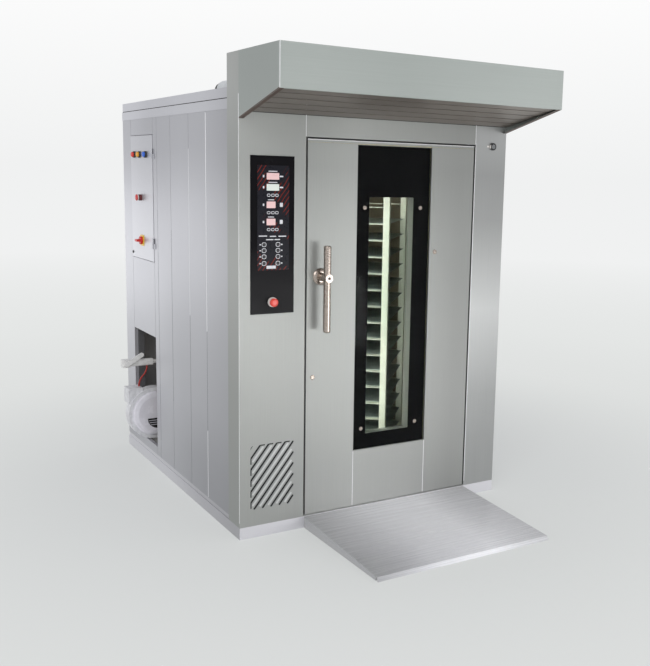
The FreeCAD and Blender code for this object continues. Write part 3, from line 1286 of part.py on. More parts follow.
def heat_exchanger():
    """The firing drum, the header on it, the upright gas tubes and the collecting header."""
    columns = int(size("exchanger_columns"))
    drum = rod("drum", "X", "drum_side", "drum_deep", "burner_high", "drum_round", "drum_long")
    hollow = rod("drum_mouth", "X", "drum_side - 1", "drum_deep", "burner_high",
                 "blast_round + mouth_fit", "2 * drum_wall")
    inside = rod("drum_inside", "X", "drum_side + drum_wall", "drum_deep", "burner_high",
                 "drum_round - drum_wall", "drum_long - 2 * drum_wall")
    span = f"exchanger_pitch * {columns - 1} + 2 * header_end"
    left = "exchanger_first - header_end"
    front, back = "drum_deep - header_half", "drum_deep + header_half"
    pieces = [cut("firing_drum", drum, hollow, inside)]
    for i, (x, turn) in enumerate((("drum_side", "+"), ("drum_side + drum_long", "-"))):
        ends = [f"{x} {turn} neck_in", f"{x} {turn} (neck_in + neck_wide)"]
        feet = [f"{x} {turn} cradle_in", f"{x} {turn} (cradle_in + cradle_thick)"]
        if turn == "-":
            ends.reverse()
            feet.reverse()
        pieces += [
            block(f"drum_neck_{i + 1}", *ends, "drum_deep - neck_half",
                  "drum_deep + neck_half", "burner_high + drum_round - neck_lap",
                  "header_low"),
            block(f"drum_cradle_{i + 1}", *feet, "drum_deep - cradle_half",
                  "drum_deep + cradle_half", "sill_high - floor_plate",
                  "burner_high - drum_round + cradle_lap"),
        ]
    parts = [fuse("drum_set", *pieces)]
    bores = {"header": [], "collector": []}
    for i in range(columns):
        for row, side in (("a", "-"), ("b", "+")):
            x, y = f"exchanger_first + {i} * exchanger_pitch", f"drum_deep {side} exchanger_row"
            parts.append(tube(f"gas_tube_{i + 1}_{row}", "Z", x, y,
                              "header_low + header_high", "exchanger_tube",
                              "exchanger_tube - tube_wall",
                              "tube_top - header_low - header_high"))
            for name, low in (("header", "header_low + header_high - 2 * header_wall"),
                              ("collector", "tube_top - header_wall")):
                bores[name].append(rod(f"{name}_bore_{i + 1}_{row}", "Z", x, y, low,
                                       "exchanger_tube - tube_wall", "3 * header_wall"))
    for name, low in (("header", "header_low"), ("collector", "tube_top")):
        whole = block(f"{name}_whole", left, f"{left} + {span}", front, back, low,
                      f"{low} + header_high")
        room = block(f"{name}_room", f"{left} + header_wall", f"{left} + {span} - header_wall",
                     f"{front} + header_wall", f"{back} - header_wall",
                     f"{low} + header_wall", f"{low} + header_high - header_wall")
        parts.append(cut(name, whole, room, *bores[name]))
    keep("heat_exchanger", group("heat_exchanger", parts))


def flue_pipes():
    """The flue from the collector and the chamber's steam pipe, both ending over the roof."""
    base = "tube_top + header_high"
    foot = "deck_top + seat_gap"
    flue = fuse("flue_pipe", tube(
        "flue_tube", "Z", "flue_side", "drum_deep", base, "flue_round - flue_wall",
        "flue_round - 2 * flue_wall", f"spigot_top - ({base})"), tube(
        "flue_spigot", "Z", "flue_side", "drum_deep", foot, "flue_round",
        "flue_round - 1.5 * flue_wall", f"spigot_top - ({foot})"))
    foot = "damper_high + damper_clear"
    steam = fuse("steam_whole", tube(
        "steam_tube", "Z", "steam_side", "steam_deep", "ceiling_high",
        "steam_round - flue_wall", "steam_round - 2 * flue_wall",
        "spigot_top - ceiling_high"), tube(
        "steam_spigot", "Z", "steam_side", "steam_deep", foot, "steam_round",
        "steam_round - 1.5 * flue_wall", f"spigot_top - ({foot})"))
    cross = rod("damper_bore", "X", "steam_side - steam_round - damper_reach", "steam_deep",
                "damper_high", "damper_shaft + hinge_fit",
                "2 * (steam_round + damper_reach)")
    keep("flue_pipes", group("flue_pipes", [flue, cut("steam_pipe", steam, cross)]))


def damper_blade():
    """The steam damper: a disc on a cross shaft with a lever outside the pipe."""
    disc = rod("damper_disc", "Z", "steam_side", "steam_deep",
               "damper_high - damper_thick / 2", "steam_round - 2 * flue_wall - damper_fit",
               "damper_thick")
    shaft = rod("damper_bar", "X", "steam_side - steam_round - damper_reach", "steam_deep",
                "damper_high", "damper_shaft", "2 * (steam_round + damper_reach)")
    near = "steam_side + steam_round + damper_lever_gap"
    lever = block("damper_lever_bar", near, f"{near} + damper_lever_thick",
                  "steam_deep - damper_lever_half", "steam_deep + damper_lever",
                  "damper_high - damper_lever_half", "damper_high + damper_lever_half")
    keep("damper_blade", fuse("damper_blade", disc, shaft, lever))


def steam_cascade():
    """Cast trays on the duct's outer wall, where water turns to steam, and the spray pipe."""
    left = "duct_outer"
    parts = []
    for i in range(int(size("cascade_rows"))):
        low = f"sill_high + cascade_first + {i} * cascade_pitch"
        parts.append(block(f"cascade_tray_{i + 1}", left, f"{left} + cascade_wide",
                           "-cascade_half", "cascade_half", low, f"{low} + cascade_thick"))
    parts.append(rod("spray_pipe", "Y", f"{left} + spray_round", "-cascade_half",
                     "sill_high + cascade_first + cascade_rows * cascade_pitch", "spray_round",
                     "chamber_half + cascade_half - seat_gap"))
    keep("steam_cascade", group("steam_cascade", parts))


def chamber_lamps():
    """Lamp housings in the front corners of the chamber, behind the door's seat."""
    parts = []
    for i, x in enumerate(("-chamber_half + lamp_box_inset",
                           "chamber_half - lamp_box_inset - lamp_box_wide")):
        parts.append(block(f"lamp_box_{i + 1}", x, f"{x} + lamp_box_wide", "lining_front",
                           "lining_front + lamp_box_deep", "lamp_box_low",
                           "lamp_box_low + lamp_box_high"))
    return parts


# ---- burner and fuel line ----

def burner():
    """The burner: a rim and blower behind it, the blast tube to the drum, its control box."""
    rim = rod("burner_ring", "Y", "burner_side", "burner_front", "burner_high",
              "burner_rim", "rim_deep")
    blower = rod("burner_blower", "Y", "burner_side", "burner_front", "burner_high",
                 "blower_round", "burner_deep")
    blast = rod("blast_tube", "X", "burner_side", "drum_deep", "burner_high", "blast_round",
                "drum_side + blast_lap - burner_side")
    stand = block("burner_stand", "panel_in_left + seat_gap", "burner_side + stand_reach",
                  "burner_front + stand_in", "burner_front + burner_deep - stand_lap",
                  "panel_low", "burner_high - blower_round + stand_lap")
    box_right = "control_box_left + control_box_wide"
    box_front = "burner_front + control_box_in"
    box = block("control_box", "control_box_left", box_right, box_front,
                f"{box_front} + control_box_deep", "control_box_low",
                "control_box_low + control_box_high")
    arm = block("control_box_arm", f"{box_right} - box_arm_lap", "burner_side",
                "burner_front + box_arm_in", "burner_front + rim_deep",
                "control_box_low + box_arm_rise",
                "control_box_low + box_arm_rise + box_arm_high")
    keep("burner_body", fuse("burner_body", rim, blower, blast, stand, box, arm))
    dome = revolved("burner_cover", [
        ("cover_round", "0"), ("cover_round", "cover_dome * 0.35"),
        ("cover_round - cover_bead", "cover_dome * 0.7"),
        ("cover_round - cover_shoulder", "cover_dome")],
        "burner_side", "burner_front", "burner_high", "-Y")
    keep("burner_cover", dome)


def fuel_line():
    """A ball valve on the fuel pipe, its lever, and the hose down to the burner."""
    pipe = rod("fuel_pipe", "X", "valve_side", "pipe_deep", "pipe_high", "pipe_round",
               "pipe_end - valve_side")
    nipple = rod("fuel_nipple", "X", "pipe_end - nipple_lap", "pipe_deep", "pipe_high",
                 "nipple_round", "bay_inner - pipe_end + nipple_lap")
    valve = block("valve_block", "valve_side - valve_half", "valve_side + valve_half",
                  "pipe_deep - valve_half", "pipe_deep + valve_half",
                  "pipe_high - valve_half", "pipe_high + valve_half")
    cap = rod("valve_cap_round_nut", "X", "valve_side - valve_half - valve_cap", "pipe_deep",
              "pipe_high", "valve_cap_round", "2 * valve_cap")
    keep("fuel_valve", fuse("fuel_valve", pipe, nipple, valve, cap))
    keep("fuel_valve_lever", valve_lever())
    keep("fuel_hose", fuel_hose())


def valve_lever():
    """The lever lies along the pipe when the valve is open, raised at its free end."""
    bar = block("lever_bar", "0", "lever_long", "-lever_thick", "0", "-lever_wide / 2",
                "lever_wide / 2")
    tip = rod("lever_tip", "Y", "lever_long", "-lever_thick", "0", "lever_wide / 2",
              "lever_thick")
    hub = rod("lever_hub_disc", "Y", "0", "-lever_thick", "0", "lever_hub",
              "lever_thick + valve_stem - seat_gap")
    item = fuse("fuel_valve_lever", bar, tip, hub)
    item.Placement = FreeCAD.Placement(
        FreeCAD.Vector(0, 0, 0), FreeCAD.Rotation(FreeCAD.Vector(0, -1, 0), 0))
    bind(item, "Placement.Base.x", "valve_side")
    bind(item, "Placement.Base.y", "pipe_deep - valve_half - valve_stem")
    bind(item, "Placement.Base.z", "pipe_high")
    bind(item, "Placement.Rotation.Angle", "lever_tilt")
    return item


def fuel_hose():
    """A short lead from the pipe to the burner's control box, straight runs and arcs."""
    x0 = size("hose_side")
    z0 = size("pipe_high") - size("pipe_round") - size("seat_gap")
    x1 = size("control_box_left") + size("control_box_wide") - size("hose_inset")
    z1 = size("control_box_low") + size("control_box_high") + size("seat_gap")
    y = size("pipe_deep")
    straight = size("hose_straight")
    points = [FreeCAD.Vector(x0, y, z0), FreeCAD.Vector(x0, y, z0 - straight),
              FreeCAD.Vector(x1, y, z1 + straight), FreeCAD.Vector(x1, y, z1)]
    edges = []
    start = points[0]
    for before, here, after in zip(points, points[1:], points[2:]):
        run_in, run_out = (here - before), (after - here)
        half = run_in.getAngle(run_out) / 2
        reach = 0.45 * min(run_in.Length, run_out.Length)
        radius = reach / math.tan(half)
        first = here - FreeCAD.Vector(run_in).normalize() * reach
        last = here + FreeCAD.Vector(run_out).normalize() * reach
        inward = (FreeCAD.Vector(run_out).normalize()
                  - FreeCAD.Vector(run_in).normalize()).normalize()
        middle = here + inward * (radius / math.cos(half) - radius)
        edges.append(Part.LineSegment(start, first).toShape())
        edges.append(Part.Arc(first, middle, last).toShape())
        print("fuel hose bend radius", round(radius, 1))
        start = last
    edges.append(Part.LineSegment(start, points[-1]).toShape())
    path = Part.Wire(edges)
    ring = Part.Wire(Part.makeCircle(size("hose_round"), points[0], FreeCAD.Vector(0, 0, 1)))
    item = doc.addObject("Part::Feature", "fuel_hose")
    item.Shape = path.makePipeShell([ring], True, False)
    return item


# ---- electrical cabinet ----

def cabinet_box():
    """The cabinet's case with its front open to the side of the oven."""
    left, right = "panel_in_left + seat_gap", "bay_inner"
    front, back = "bay_front + post_lap", "bay_back - post_lap"
    low, high = "cabinet_low", "cabinet_low + cabinet_high"
    wall = "sheet_thick"
    keep("cabinet_box", group("cabinet_box", [
        block("cabinet_back", f"{right} - {wall}", right, front, back, low, high),
        block("cabinet_floor", left, f"{right} - {wall}", front, back, low, f"{low} + {wall}"),
        block("cabinet_roof", left, f"{right} - {wall}", front, back, f"{high} - {wall}", high),
        block("cabinet_front", left, f"{right} - {wall}", front, f"{front} + {wall}",
              f"{low} + {wall}", f"{high} - {wall}"),
        block("cabinet_rear", left, f"{right} - {wall}", f"{back} - {wall}", back,
              f"{low} + {wall}", f"{high} - {wall}"),
    ]))


def bay_partition():
    """The wall between the side bay and the heat exchanger, with the blast tube's hole."""
    wall = block("partition_whole", "bay_inner", "bay_inner + partition_thick",
                 "chamber_half + sheet_thick", "panel_in_back - post_wide",
                 "sill_high - floor_plate", "ceiling_high")
    hole = rod("partition_hole", "X", "bay_inner - 5", "drum_deep", "burner_high",
               "blast_round + seat_gap", "partition_thick + 10")
    return cut("bay_partition", wall, hole)


def cabinet_electrics():
    """Contactors, a controller and a transformer on the cabinet's back plate."""
    face = "bay_inner - sheet_thick"
    front = f"{face} - rail_thick"
    parts = [block(name, front, face, "bay_front + rail_first",
                   "bay_front + rail_first + rail_long", name, f"{name} + rail_tall")
             for name in ("rail_low", "rail_high")]
    for i in range(int(size("contactors"))):
        start = f"bay_front + contactor_first + {i} * contactor_pitch"
        parts.append(block(f"contactor_{i + 1}", f"{front} - contactor_deep", front, start,
                           f"{start} + contactor_wide", "contactor_low",
                           "contactor_low + contactor_high"))
    for name in ("controller", "transformer"):
        start = f"bay_front + {name}_first"
        parts.append(block(name, f"{front} - {name}_deep", front, start,
                           f"{start} + {name}_wide", f"{name}_low",
                           f"{name}_low + {name}_high"))
    keep("cabinet_electrics", group("cabinet_electrics", parts))


def cabinet_door():
    """The cabinet's door, hinged at its front edge, with the holes for its controls."""
    front = "bay_front + cabinet_door_gap"
    back = "bay_back - cabinet_door_gap"
    low = "cabinet_low + seat_gap"
    high = "cabinet_low + cabinet_high"
    leaf = tray("cabinet_door_tray", "left_face", "left_face + cabinet_return", front, back,
                low, high, "+x")
    start, through = "left_face - hinge_leaf", "2 * hinge_leaf + sheet_thick"
    holes = [rod("switch_hole", "X", start, "switch_deep", "switch_high",
                 "switch_stem + hinge_fit", through),
             rod("isolator_hole", "X", start, "isolator_deep", "isolator_high",
                 "switch_stem + hinge_fit", through)]
    pins, knuckles = [], []
    hinge_x, hinge_y = "left_face - cabinet_knuckle", "bay_front"
    for i, z in enumerate(("cabinet_low + hinge_in",
                           "cabinet_low + cabinet_high - hinge_top_in")):
        over = f"{z} + knuckle_tall + seat_gap"
        pins.append(fuse(f"cabinet_hinge_{i + 1}",
                         rod(f"cabinet_knuckle_{i + 1}", "Z", hinge_x, hinge_y, z,
                             "cabinet_knuckle", "knuckle_tall"),
                         rod(f"cabinet_pin_{i + 1}", "Z", hinge_x, hinge_y, z, "cabinet_pin",
                             "2 * knuckle_tall"),
                         block(f"cabinet_leaf_{i + 1}", "left_face - hinge_leaf",
                               "panel_out_left", "bay_front - hinge_leaf_long",
                               "bay_front - hinge_leaf_clear", z, f"{z} + knuckle_tall")))
        knuckle = rod(f"door_knuckle_{i + 1}_round", "Z", hinge_x, hinge_y, over,
                      "cabinet_knuckle", "knuckle_tall")
        wing = block(f"door_leaf_{i + 1}", "left_face - hinge_leaf", "left_face",
                     "bay_front + hinge_leaf_clear", "bay_front + hinge_leaf_long", over,
                     f"{over} + knuckle_tall")
        bore = rod(f"door_knuckle_{i + 1}_bore", "Z", hinge_x, hinge_y, z,
                   "cabinet_pin + hinge_fit", "3 * knuckle_tall")
        knuckles.append(cut(f"door_knuckle_{i + 1}", fuse(f"knuckle_wing_{i + 1}", knuckle,
                                                          wing), bore))
    keep("hinge_pins", group("hinge_pins", door_pivots() + pins))
    keep("cabinet_door", group("cabinet_door", [cut("cabinet_leaf", leaf, *holes)] + knuckles))


def pilot_lights():
    """Three lamp lenses in round holders, the cabinet's lock and the isolator's plate."""
    holders, lenses = [], []
    for i in range(1, 4):
        holders.append(rod(f"light_holder_{i}", "X", "left_face - light_proud / 2",
                           f"light_{i}", "light_high", "light_round", "light_proud / 2"))
        lenses.append(revolved(f"light_lens_{i}", [
            ("light_round - 4", "light_proud / 2"), ("light_round - 4", "light_proud - 4"),
            ("light_round - 9", "light_proud")], "left_face", f"light_{i}", "light_high",
            "-X"))
    keep("pilot_lights", group("pilot_lights", lenses))
    base = rod("switch_base_round", "X", "left_face - switch_base", "switch_deep",
               "switch_high", "switch_round", "switch_base")
    bore = rod("switch_base_bore", "X", "left_face - switch_base - 1", "switch_deep",
               "switch_high", "switch_stem + hinge_fit", "switch_base + 2")
    plate = block("isolator_plate_whole", "left_face - isolator_plate", "left_face",
                  "isolator_deep - isolator_half", "isolator_deep + isolator_half",
                  "isolator_high - isolator_half", "isolator_high + isolator_half")
    hole = rod("isolator_plate_hole", "X", "left_face - isolator_plate - 1", "isolator_deep",
               "isolator_high", "switch_stem + hinge_fit", "isolator_plate + 2")
    keep("cabinet_door_fittings", group("cabinet_door_fittings", holders + [
        cut("switch_base", base, bore),
        cut("isolator_plate_square", plate, hole),
        rod("cabinet_lock", "X", "left_face - 4", "lock_deep", "lock_high", "lock_round", "4"),
    ]))


def cabinet_switches():
    """The push button and the isolator's handle on the cabinet door."""
    base = "switch_base + switch_travel"
    keep("cabinet_button", revolved("cabinet_button", [
        ("switch_stem", "-sheet_thick - 6"), ("switch_stem", base), ("switch_round - 1", base),
        ("switch_round", f"{base} + 2"), ("switch_round", f"{base} + switch_cap - 3"),
        ("switch_round - 6", f"{base} + switch_cap")], "left_face", "switch_deep",
        "switch_high", "-X"))
    plate = "isolator_plate + seat_gap"
    knob = revolved("isolator_knob", [
        ("switch_stem", "-sheet_thick - stem_reach"), ("switch_stem", plate),
        ("isolator_round", plate), ("isolator_round", f"{plate} + isolator_base"),
        ("isolator_round - isolator_taper", f"{plate} + isolator_crown")], "left_face",
        "isolator_deep", "isolator_high", "-X")
    grip = block("isolator_grip", "left_face - isolator_out",
                 f"left_face - ({plate}) - isolator_base",
                 "isolator_deep - isolator_round + grip_inset",
                 "isolator_deep + isolator_round - grip_inset",
                 "isolator_high - grip_half", "isolator_high + grip_half")
    keep("isolator_handle", fuse("isolator_handle", knob, grip))


# ---- ramp ----

def ramp():
    """A loose plate on two ribs that slopes from the sill down to the floor."""
    top = outline(("-ramp_back", "ramp_back_high"), ("-ramp_lip_back", "ramp_lip_high"),
                  ("-ramp_front", "0"), ("-ramp_front + 1.5 * ramp_plate", "0"),
                  ("-ramp_lip_back + ramp_plate / 2", "ramp_lip_high - ramp_plate"),
                  ("-ramp_back", "ramp_back_high - ramp_plate"))
    short = "-ramp_lip_back + rib_short"
    rib = outline(("-ramp_back", "0"), ("-ramp_back", "ramp_back_high - ramp_plate"),
                  (short, "ramp_lip_high - ramp_plate + seat_gap"), (short, "0"))
    parts = [padded_body("ramp_plate_sheet", "YZ_Plane", top, "2 * ramp_half", "-ramp_half")]
    for i, start in enumerate(("-ramp_half", "-ramp_rib / 2", "ramp_half - ramp_rib")):
        parts.append(padded_body(f"ramp_rib_{i + 1}", "YZ_Plane", rib, "ramp_rib", start))
    keep("ramp", group("ramp", parts))


# ---- build, check and write ----

BUILDERS = [
    base_frame, floor_panel, left_pillar, right_pillar, lintel, wall_panels, roof_deck,
    wall_insulation, ceiling_insulation, chamber_walls, chamber_ceiling, door_frame,
    door_skin, door_core, door_windows, door_gasket, door_trim, door_handle, latch_bolt,
    control_panel, front_switches, hood_shell, hood_slats, rack_gearmotor, rack_shaft,
    rack_frame, baking_sheets, fan_case, circulation_fan, fan_motor, drive_belt,
    heat_exchanger, flue_pipes, damper_blade, steam_cascade, burner, fuel_line,
    cabinet_box, cabinet_electrics, cabinet_door, pilot_lights, cabinet_switches, ramp,
]


def check_document():
    for item in doc.Objects:
        if "Invalid" in item.State or "Error" in item.State:
            raise RuntimeError(f"{item.Label} did not recompute")
    for node in nodes:
        if node.Shape.isNull() or not node.Shape.isValid():
            raise RuntimeError(f"{node.Label} has no valid shape")


fill_sheets()
for builder in BUILDERS:
    builder()
doc.recompute()
check_document()
os.makedirs("parts", exist_ok=True)
for node in nodes:
    node.Shape.exportStep(f"parts/{node.Label}.step")
print(len(nodes), "nodes,", sum(len(node.Shape.Solids) for node in nodes), "solids")
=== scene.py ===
# %% [markdown]
# # A rotating rack oven, dressed for the camera
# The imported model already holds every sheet, pipe and wheel at its true size. This lesson
# gives each of them a finish, adds the small things that only show in a picture, and sets
# up the floor, the lamps and the camera. Everything is in metres, with the floor at z = 0
# and the door facing -Y.

# %% Load the frame
import bpy, bmesh, math
from mathutils import Matrix, Vector


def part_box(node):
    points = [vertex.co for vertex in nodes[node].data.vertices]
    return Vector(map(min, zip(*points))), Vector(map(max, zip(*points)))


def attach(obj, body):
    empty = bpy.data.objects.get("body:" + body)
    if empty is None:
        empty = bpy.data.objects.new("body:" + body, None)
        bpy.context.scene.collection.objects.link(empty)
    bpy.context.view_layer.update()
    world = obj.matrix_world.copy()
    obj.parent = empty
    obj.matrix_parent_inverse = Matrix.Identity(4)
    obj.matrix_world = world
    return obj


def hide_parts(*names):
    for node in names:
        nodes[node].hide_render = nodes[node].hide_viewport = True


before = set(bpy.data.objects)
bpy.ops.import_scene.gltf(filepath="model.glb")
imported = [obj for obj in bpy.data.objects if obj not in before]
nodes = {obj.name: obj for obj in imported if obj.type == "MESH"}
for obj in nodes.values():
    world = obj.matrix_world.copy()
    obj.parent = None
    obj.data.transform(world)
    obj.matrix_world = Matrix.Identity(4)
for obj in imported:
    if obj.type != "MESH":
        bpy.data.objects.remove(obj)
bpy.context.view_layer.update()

# %% [markdown]
# ## Colour and surface helpers
# Paint charts and photographs give colours as 0-255 screen values, but a shader works in
# linear light. One small function converts them, so that a colour renders as it is written.
# A second one starts a material from the three numbers that matter most: its colour, how
# metallic it is and how rough it is.

# %% Screen colour to linear light
def colour(red, green, blue):
    channels = []
    for level in (red / 255, green / 255, blue / 255):
        channels.append(level / 12.92 if level <= 0.04045 else ((level + 0.055) / 1.055) ** 2.4)
    return (*channels, 1.0)


print("mid grey is", [round(c, 3) for c in colour(128, 128, 128)])


# %% Start a material
def surface(name, base, metallic=0.0, roughness=0.5, specular=0.5):
    material = bpy.data.materials.new(name)
    material.use_nodes = True
    shader = material.node_tree.nodes["Principled BSDF"]
    shader.inputs["Base Color"].default_value = base
    shader.inputs["Metallic"].default_value = metallic
    shader.inputs["Roughness"].default_value = roughness
    shader.inputs["Specular IOR Level"].default_value = specular
    return material


print("surface() starts a material")

# %% [markdown]
# Real sheet metal is never one flat tone. A noise texture, stretched a lot in one direction,
# looks like the brushing left by an abrasive belt. Stretched equally, it looks like casting
# skin or dust. The same field can drive colour, roughness and a very small bump. The
# coordinates are the object's own, which here are metres in the frame, so a grain 0.5 mm
# wide stays 0.5 mm wide on every piece.

# %% A field of noise
def field(material, stretch, detail=3.0, roughness=0.55):
    tree = material.node_tree
    place = tree.nodes.new("ShaderNodeTexCoord")
    mapping = tree.nodes.new("ShaderNodeMapping")
    mapping.inputs["Scale"].default_value = stretch
    noise = tree.nodes.new("ShaderNodeTexNoise")
    noise.inputs["Scale"].default_value = 1.0
    noise.inputs["Detail"].default_value = detail
    noise.inputs["Roughness"].default_value = roughness
    tree.links.new(place.outputs["Object"], mapping.inputs["Vector"])
    tree.links.new(mapping.outputs["Vector"], noise.inputs["Vector"])
    return noise.outputs["Fac"]


print("field() gives noise in metres")

# %% [markdown]
# A field only gives numbers around one half. A colour ramp turns them into tones, a map
# range turns them into a span of roughness, and a bump node turns them into a grain that
# catches the light.

# %% What a field drives
def span_from(tree, start, end):
    """A map range that reads values from start to end."""
    span = tree.nodes.new("ShaderNodeMapRange")
    span.inputs["From Min"].default_value = start
    span.inputs["From Max"].default_value = end
    return span


def blend_tones(material, strength, *tones):
    """Colours spread evenly over the field's middle range drive the base colour."""
    tree = material.node_tree
    ramp = tree.nodes.new("ShaderNodeValToRGB")
    stops = ramp.color_ramp.elements
    stops[0].position, stops[1].position = 0.32, 0.68
    stops[0].color, stops[1].color = tones[0], tones[-1]
    for i, tone in enumerate(tones[1:-1], 1):
        stops.new(0.32 + 0.36 * i / (len(tones) - 1)).color = tone
    tree.links.new(strength, ramp.inputs["Fac"])
    tree.links.new(ramp.outputs["Color"],
                   tree.nodes["Principled BSDF"].inputs["Base Color"])
    return ramp.outputs["Color"]


def vary_roughness(material, strength, smooth, rough):
    tree = material.node_tree
    span = span_from(tree, 0.3, 0.7)
    span.inputs["To Min"].default_value = smooth
    span.inputs["To Max"].default_value = rough
    tree.links.new(strength, span.inputs["Value"])
    tree.links.new(span.outputs["Result"],
                   tree.nodes["Principled BSDF"].inputs["Roughness"])


def raise_grain(material, height, strength, distance):
    tree = material.node_tree
    bump = tree.nodes.new("ShaderNodeBump")
    bump.inputs["Strength"].default_value = strength
    bump.inputs["Distance"].default_value = distance
    tree.links.new(height, bump.inputs["Height"])
    tree.links.new(bump.outputs["Normal"],
                   tree.nodes["Principled BSDF"].inputs["Normal"])


print("tones, roughness and grain can follow a field")


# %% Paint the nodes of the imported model
def paint(material, *names):
    for name in names:
        slots = nodes[name].data.materials
        slots.clear()
        slots.append(material)
    print(material.name, "on", len(names), "nodes")


print(len(nodes), "nodes wait for their paint")

# %% [markdown]
# ## The stainless front
# The pillars, the lintel, the door skin and the hood are satin stainless sheet, brushed from
# top to bottom. A fully metallic shader would mirror the studio and go black where the room
# is dark, so the metal is slightly less than full and quite rough. The grain is a noise
# squeezed across the sheet and drawn out along Z, plus a broad, faint cloudiness that real
# sheet shows when it is seen at a low angle.

# %% Brushed sheet
def brushed_sheet(name, dark, light, roughness=0.36, metallic=0.72, along="Z", fine=520.0):
    material = surface(name, light, metallic, roughness)
    stretch = {"X": (2.5, fine, fine), "Y": (fine, 2.5, fine), "Z": (fine, fine, 2.5)}[along]
    grain = field(material, stretch, detail=4.0)
    cloud = field(material, (0.9, 0.9, 0.55), detail=1.0)
    tree = material.node_tree
    both = tree.nodes.new("ShaderNodeMix")
    both.inputs["Factor"].default_value = 0.72
    tree.links.new(grain, both.inputs["A"])
    tree.links.new(cloud, both.inputs["B"])
    blend_tones(material, both.outputs["Result"], dark, light)
    vary_roughness(material, grain, roughness - 0.05, roughness + 0.06)
    raise_grain(material, grain, 0.05, 0.0004)
    return material


print("brushed_sheet() lays grain along one axis")

# %% [markdown]
# A wide sheet isn't evenly lit: it is darker near the floor and paler where it mirrors the
# room. A ramp along one axis of the object multiplies the sheet's colour by a few levels,
# which paints that shade and those highlights into the colour, so they stay on the sheet
# whichever way the camera looks.

# %% Levels along a sheet
def ramp_along(material, axis, start, end):
    """A colour ramp that runs from start to end of one object axis, in metres."""
    tree = material.node_tree
    place = tree.nodes.new("ShaderNodeTexCoord")
    split = tree.nodes.new("ShaderNodeSeparateXYZ")
    span = span_from(tree, start, end)
    ramp = tree.nodes.new("ShaderNodeValToRGB")
    tree.links.new(place.outputs["Object"], split.inputs["Vector"])
    tree.links.new(split.outputs[axis], span.inputs["Value"])
    tree.links.new(span.outputs["Result"], ramp.inputs["Fac"])
    return ramp


def shade_along(material, axis, start, end, *levels):
    """Multiply the base colour by levels spread evenly from start to end of one axis."""
    tree = material.node_tree
    base = tree.nodes["Principled BSDF"].inputs["Base Color"]
    ramp = ramp_along(material, axis, start, end)
    stops = ramp.color_ramp.elements
    stops[0].color, stops[1].color = (*[levels[0]] * 3, 1), (*[levels[-1]] * 3, 1)
    for i, level in enumerate(levels[1:-1], 1):
        stops.new(i / (len(levels) - 1)).color = (*[level] * 3, 1)
    shaded = tree.nodes.new("ShaderNodeVectorMath")
    shaded.operation = "MULTIPLY"
    tree.links.new(base.links[0].from_socket, shaded.inputs[0])
    tree.links.new(ramp.outputs["Color"], shaded.inputs[1])
    tree.links.new(shaded.outputs["Vector"], base)


print("shade_along() multiplies the colour by levels")

# %% Pillars, lintel and door
floor_z, roof_z = 0.0, 2.24
front_left, front_right = -0.87, 0.73
front_steel = brushed_sheet("front_steel", colour(156, 158, 155), colour(180, 181, 179), 0.46)
# painted light and shade: lighter at the lintel, darker towards the right
shade_along(front_steel, "Z", floor_z, roof_z, 1.0, 1.02, 1.0, 1.02, 1.04, 0.95, 1.2)
shade_along(front_steel, "X", front_left, front_right, 0.96, 0.92, 1.04, 0.93, 0.77, 0.77)
right_steel = brushed_sheet("right_steel", colour(157, 158, 157), colour(180, 181, 181))
# painted highlight on the right pillar, brightest at about 1.1 m
shade_along(right_steel, "Z", 0.1, 2.1, 0.9, 0.87, 0.92, 1.15, 1.42, 1.2, 0.9, 0.83, 1.1)
paint(front_steel, "left_pillar", "lintel", "door_skin", "door_frame")
paint(right_steel, "right_pillar")

# %% [markdown]
# The hood is the same sheet turned on its side, with its brushing from end to end and a
# slightly greener look; painted shade darkens it behind its front face. The body's sides and
# the plinth are a paler, cooler satin, with painted light and shade along them. Above the
# plinth the frame's posts stand in the burner bay, where painted shade makes them dark.

# %% Hood, sides and plinth
hood_steel = brushed_sheet("hood_steel", colour(176, 182, 178), colour(194, 200, 196), along="X")
# painted shade: the hood behind its front face is darker
shade_along(hood_steel, "Y", -1.16, -1.13, 1.0, 0.8)
back = 1.22
side_steel = brushed_sheet("side_steel", colour(186, 186, 191), colour(206, 206, 211), 0.42)
# painted light and shade: darker towards the front and the floor, lighter towards the back
shade_along(side_steel, "Y", -0.56, back, 0.8, 0.92, 1.0, 1.06, 1.1, 1.1)
shade_along(side_steel, "Z", floor_z, roof_z, 0.8, 0.86, 0.98, 1.0, 1.0, 1.0, 1.0, 0.94, 0.98)
# lighter on the roof trim, above z 2.137
shade_along(side_steel, "Z", 2.134, 2.137, 1.0, 1.22)
plinth_steel = brushed_sheet("plinth_steel", colour(206, 205, 210), colour(228, 227, 232),
                             0.38, 0.4, "X")
# painted light and shade: the plinth's sides darken towards the front corner and its front face
# is painted lighter
shade_along(plinth_steel, "Y", -0.6995, back, 0.62, 0.8, 0.9, 1.0)
shade_along(plinth_steel, "Y", -0.6998, -0.6992, 1.6, 1.0)
# painted shade: above z 0.09 the frame's posts and floor plate in the burner bay are dark
shade_along(plinth_steel, "Z", 0.084, 0.09, 1.0, 0.25)
cabinet_steel = brushed_sheet("cabinet_steel", colour(203, 203, 208), colour(223, 223, 228),
                              0.42)
paint(hood_steel, "hood_shell")
paint(side_steel, "wall_panels")
paint(cabinet_steel, "cabinet_door")
paint(plinth_steel, "base_frame")

# %% [markdown]
# The hood's underside is a row of bent slats that catch grease. They carry a brown film and are
# streaked along their length; their dark tone is partly that film and partly painted shade.

# %% Hood slats
slat_steel = brushed_sheet("slat_steel", colour(98, 90, 84), colour(142, 134, 127), 0.42,
                           0.4, "X", 110.0)
# painted light: the slats are lighter towards the middle
shade_along(slat_steel, "X", front_left, front_right, 0.98, 1.15, 1.3, 1.2, 0.95)
paint(slat_steel, "hood_slats")
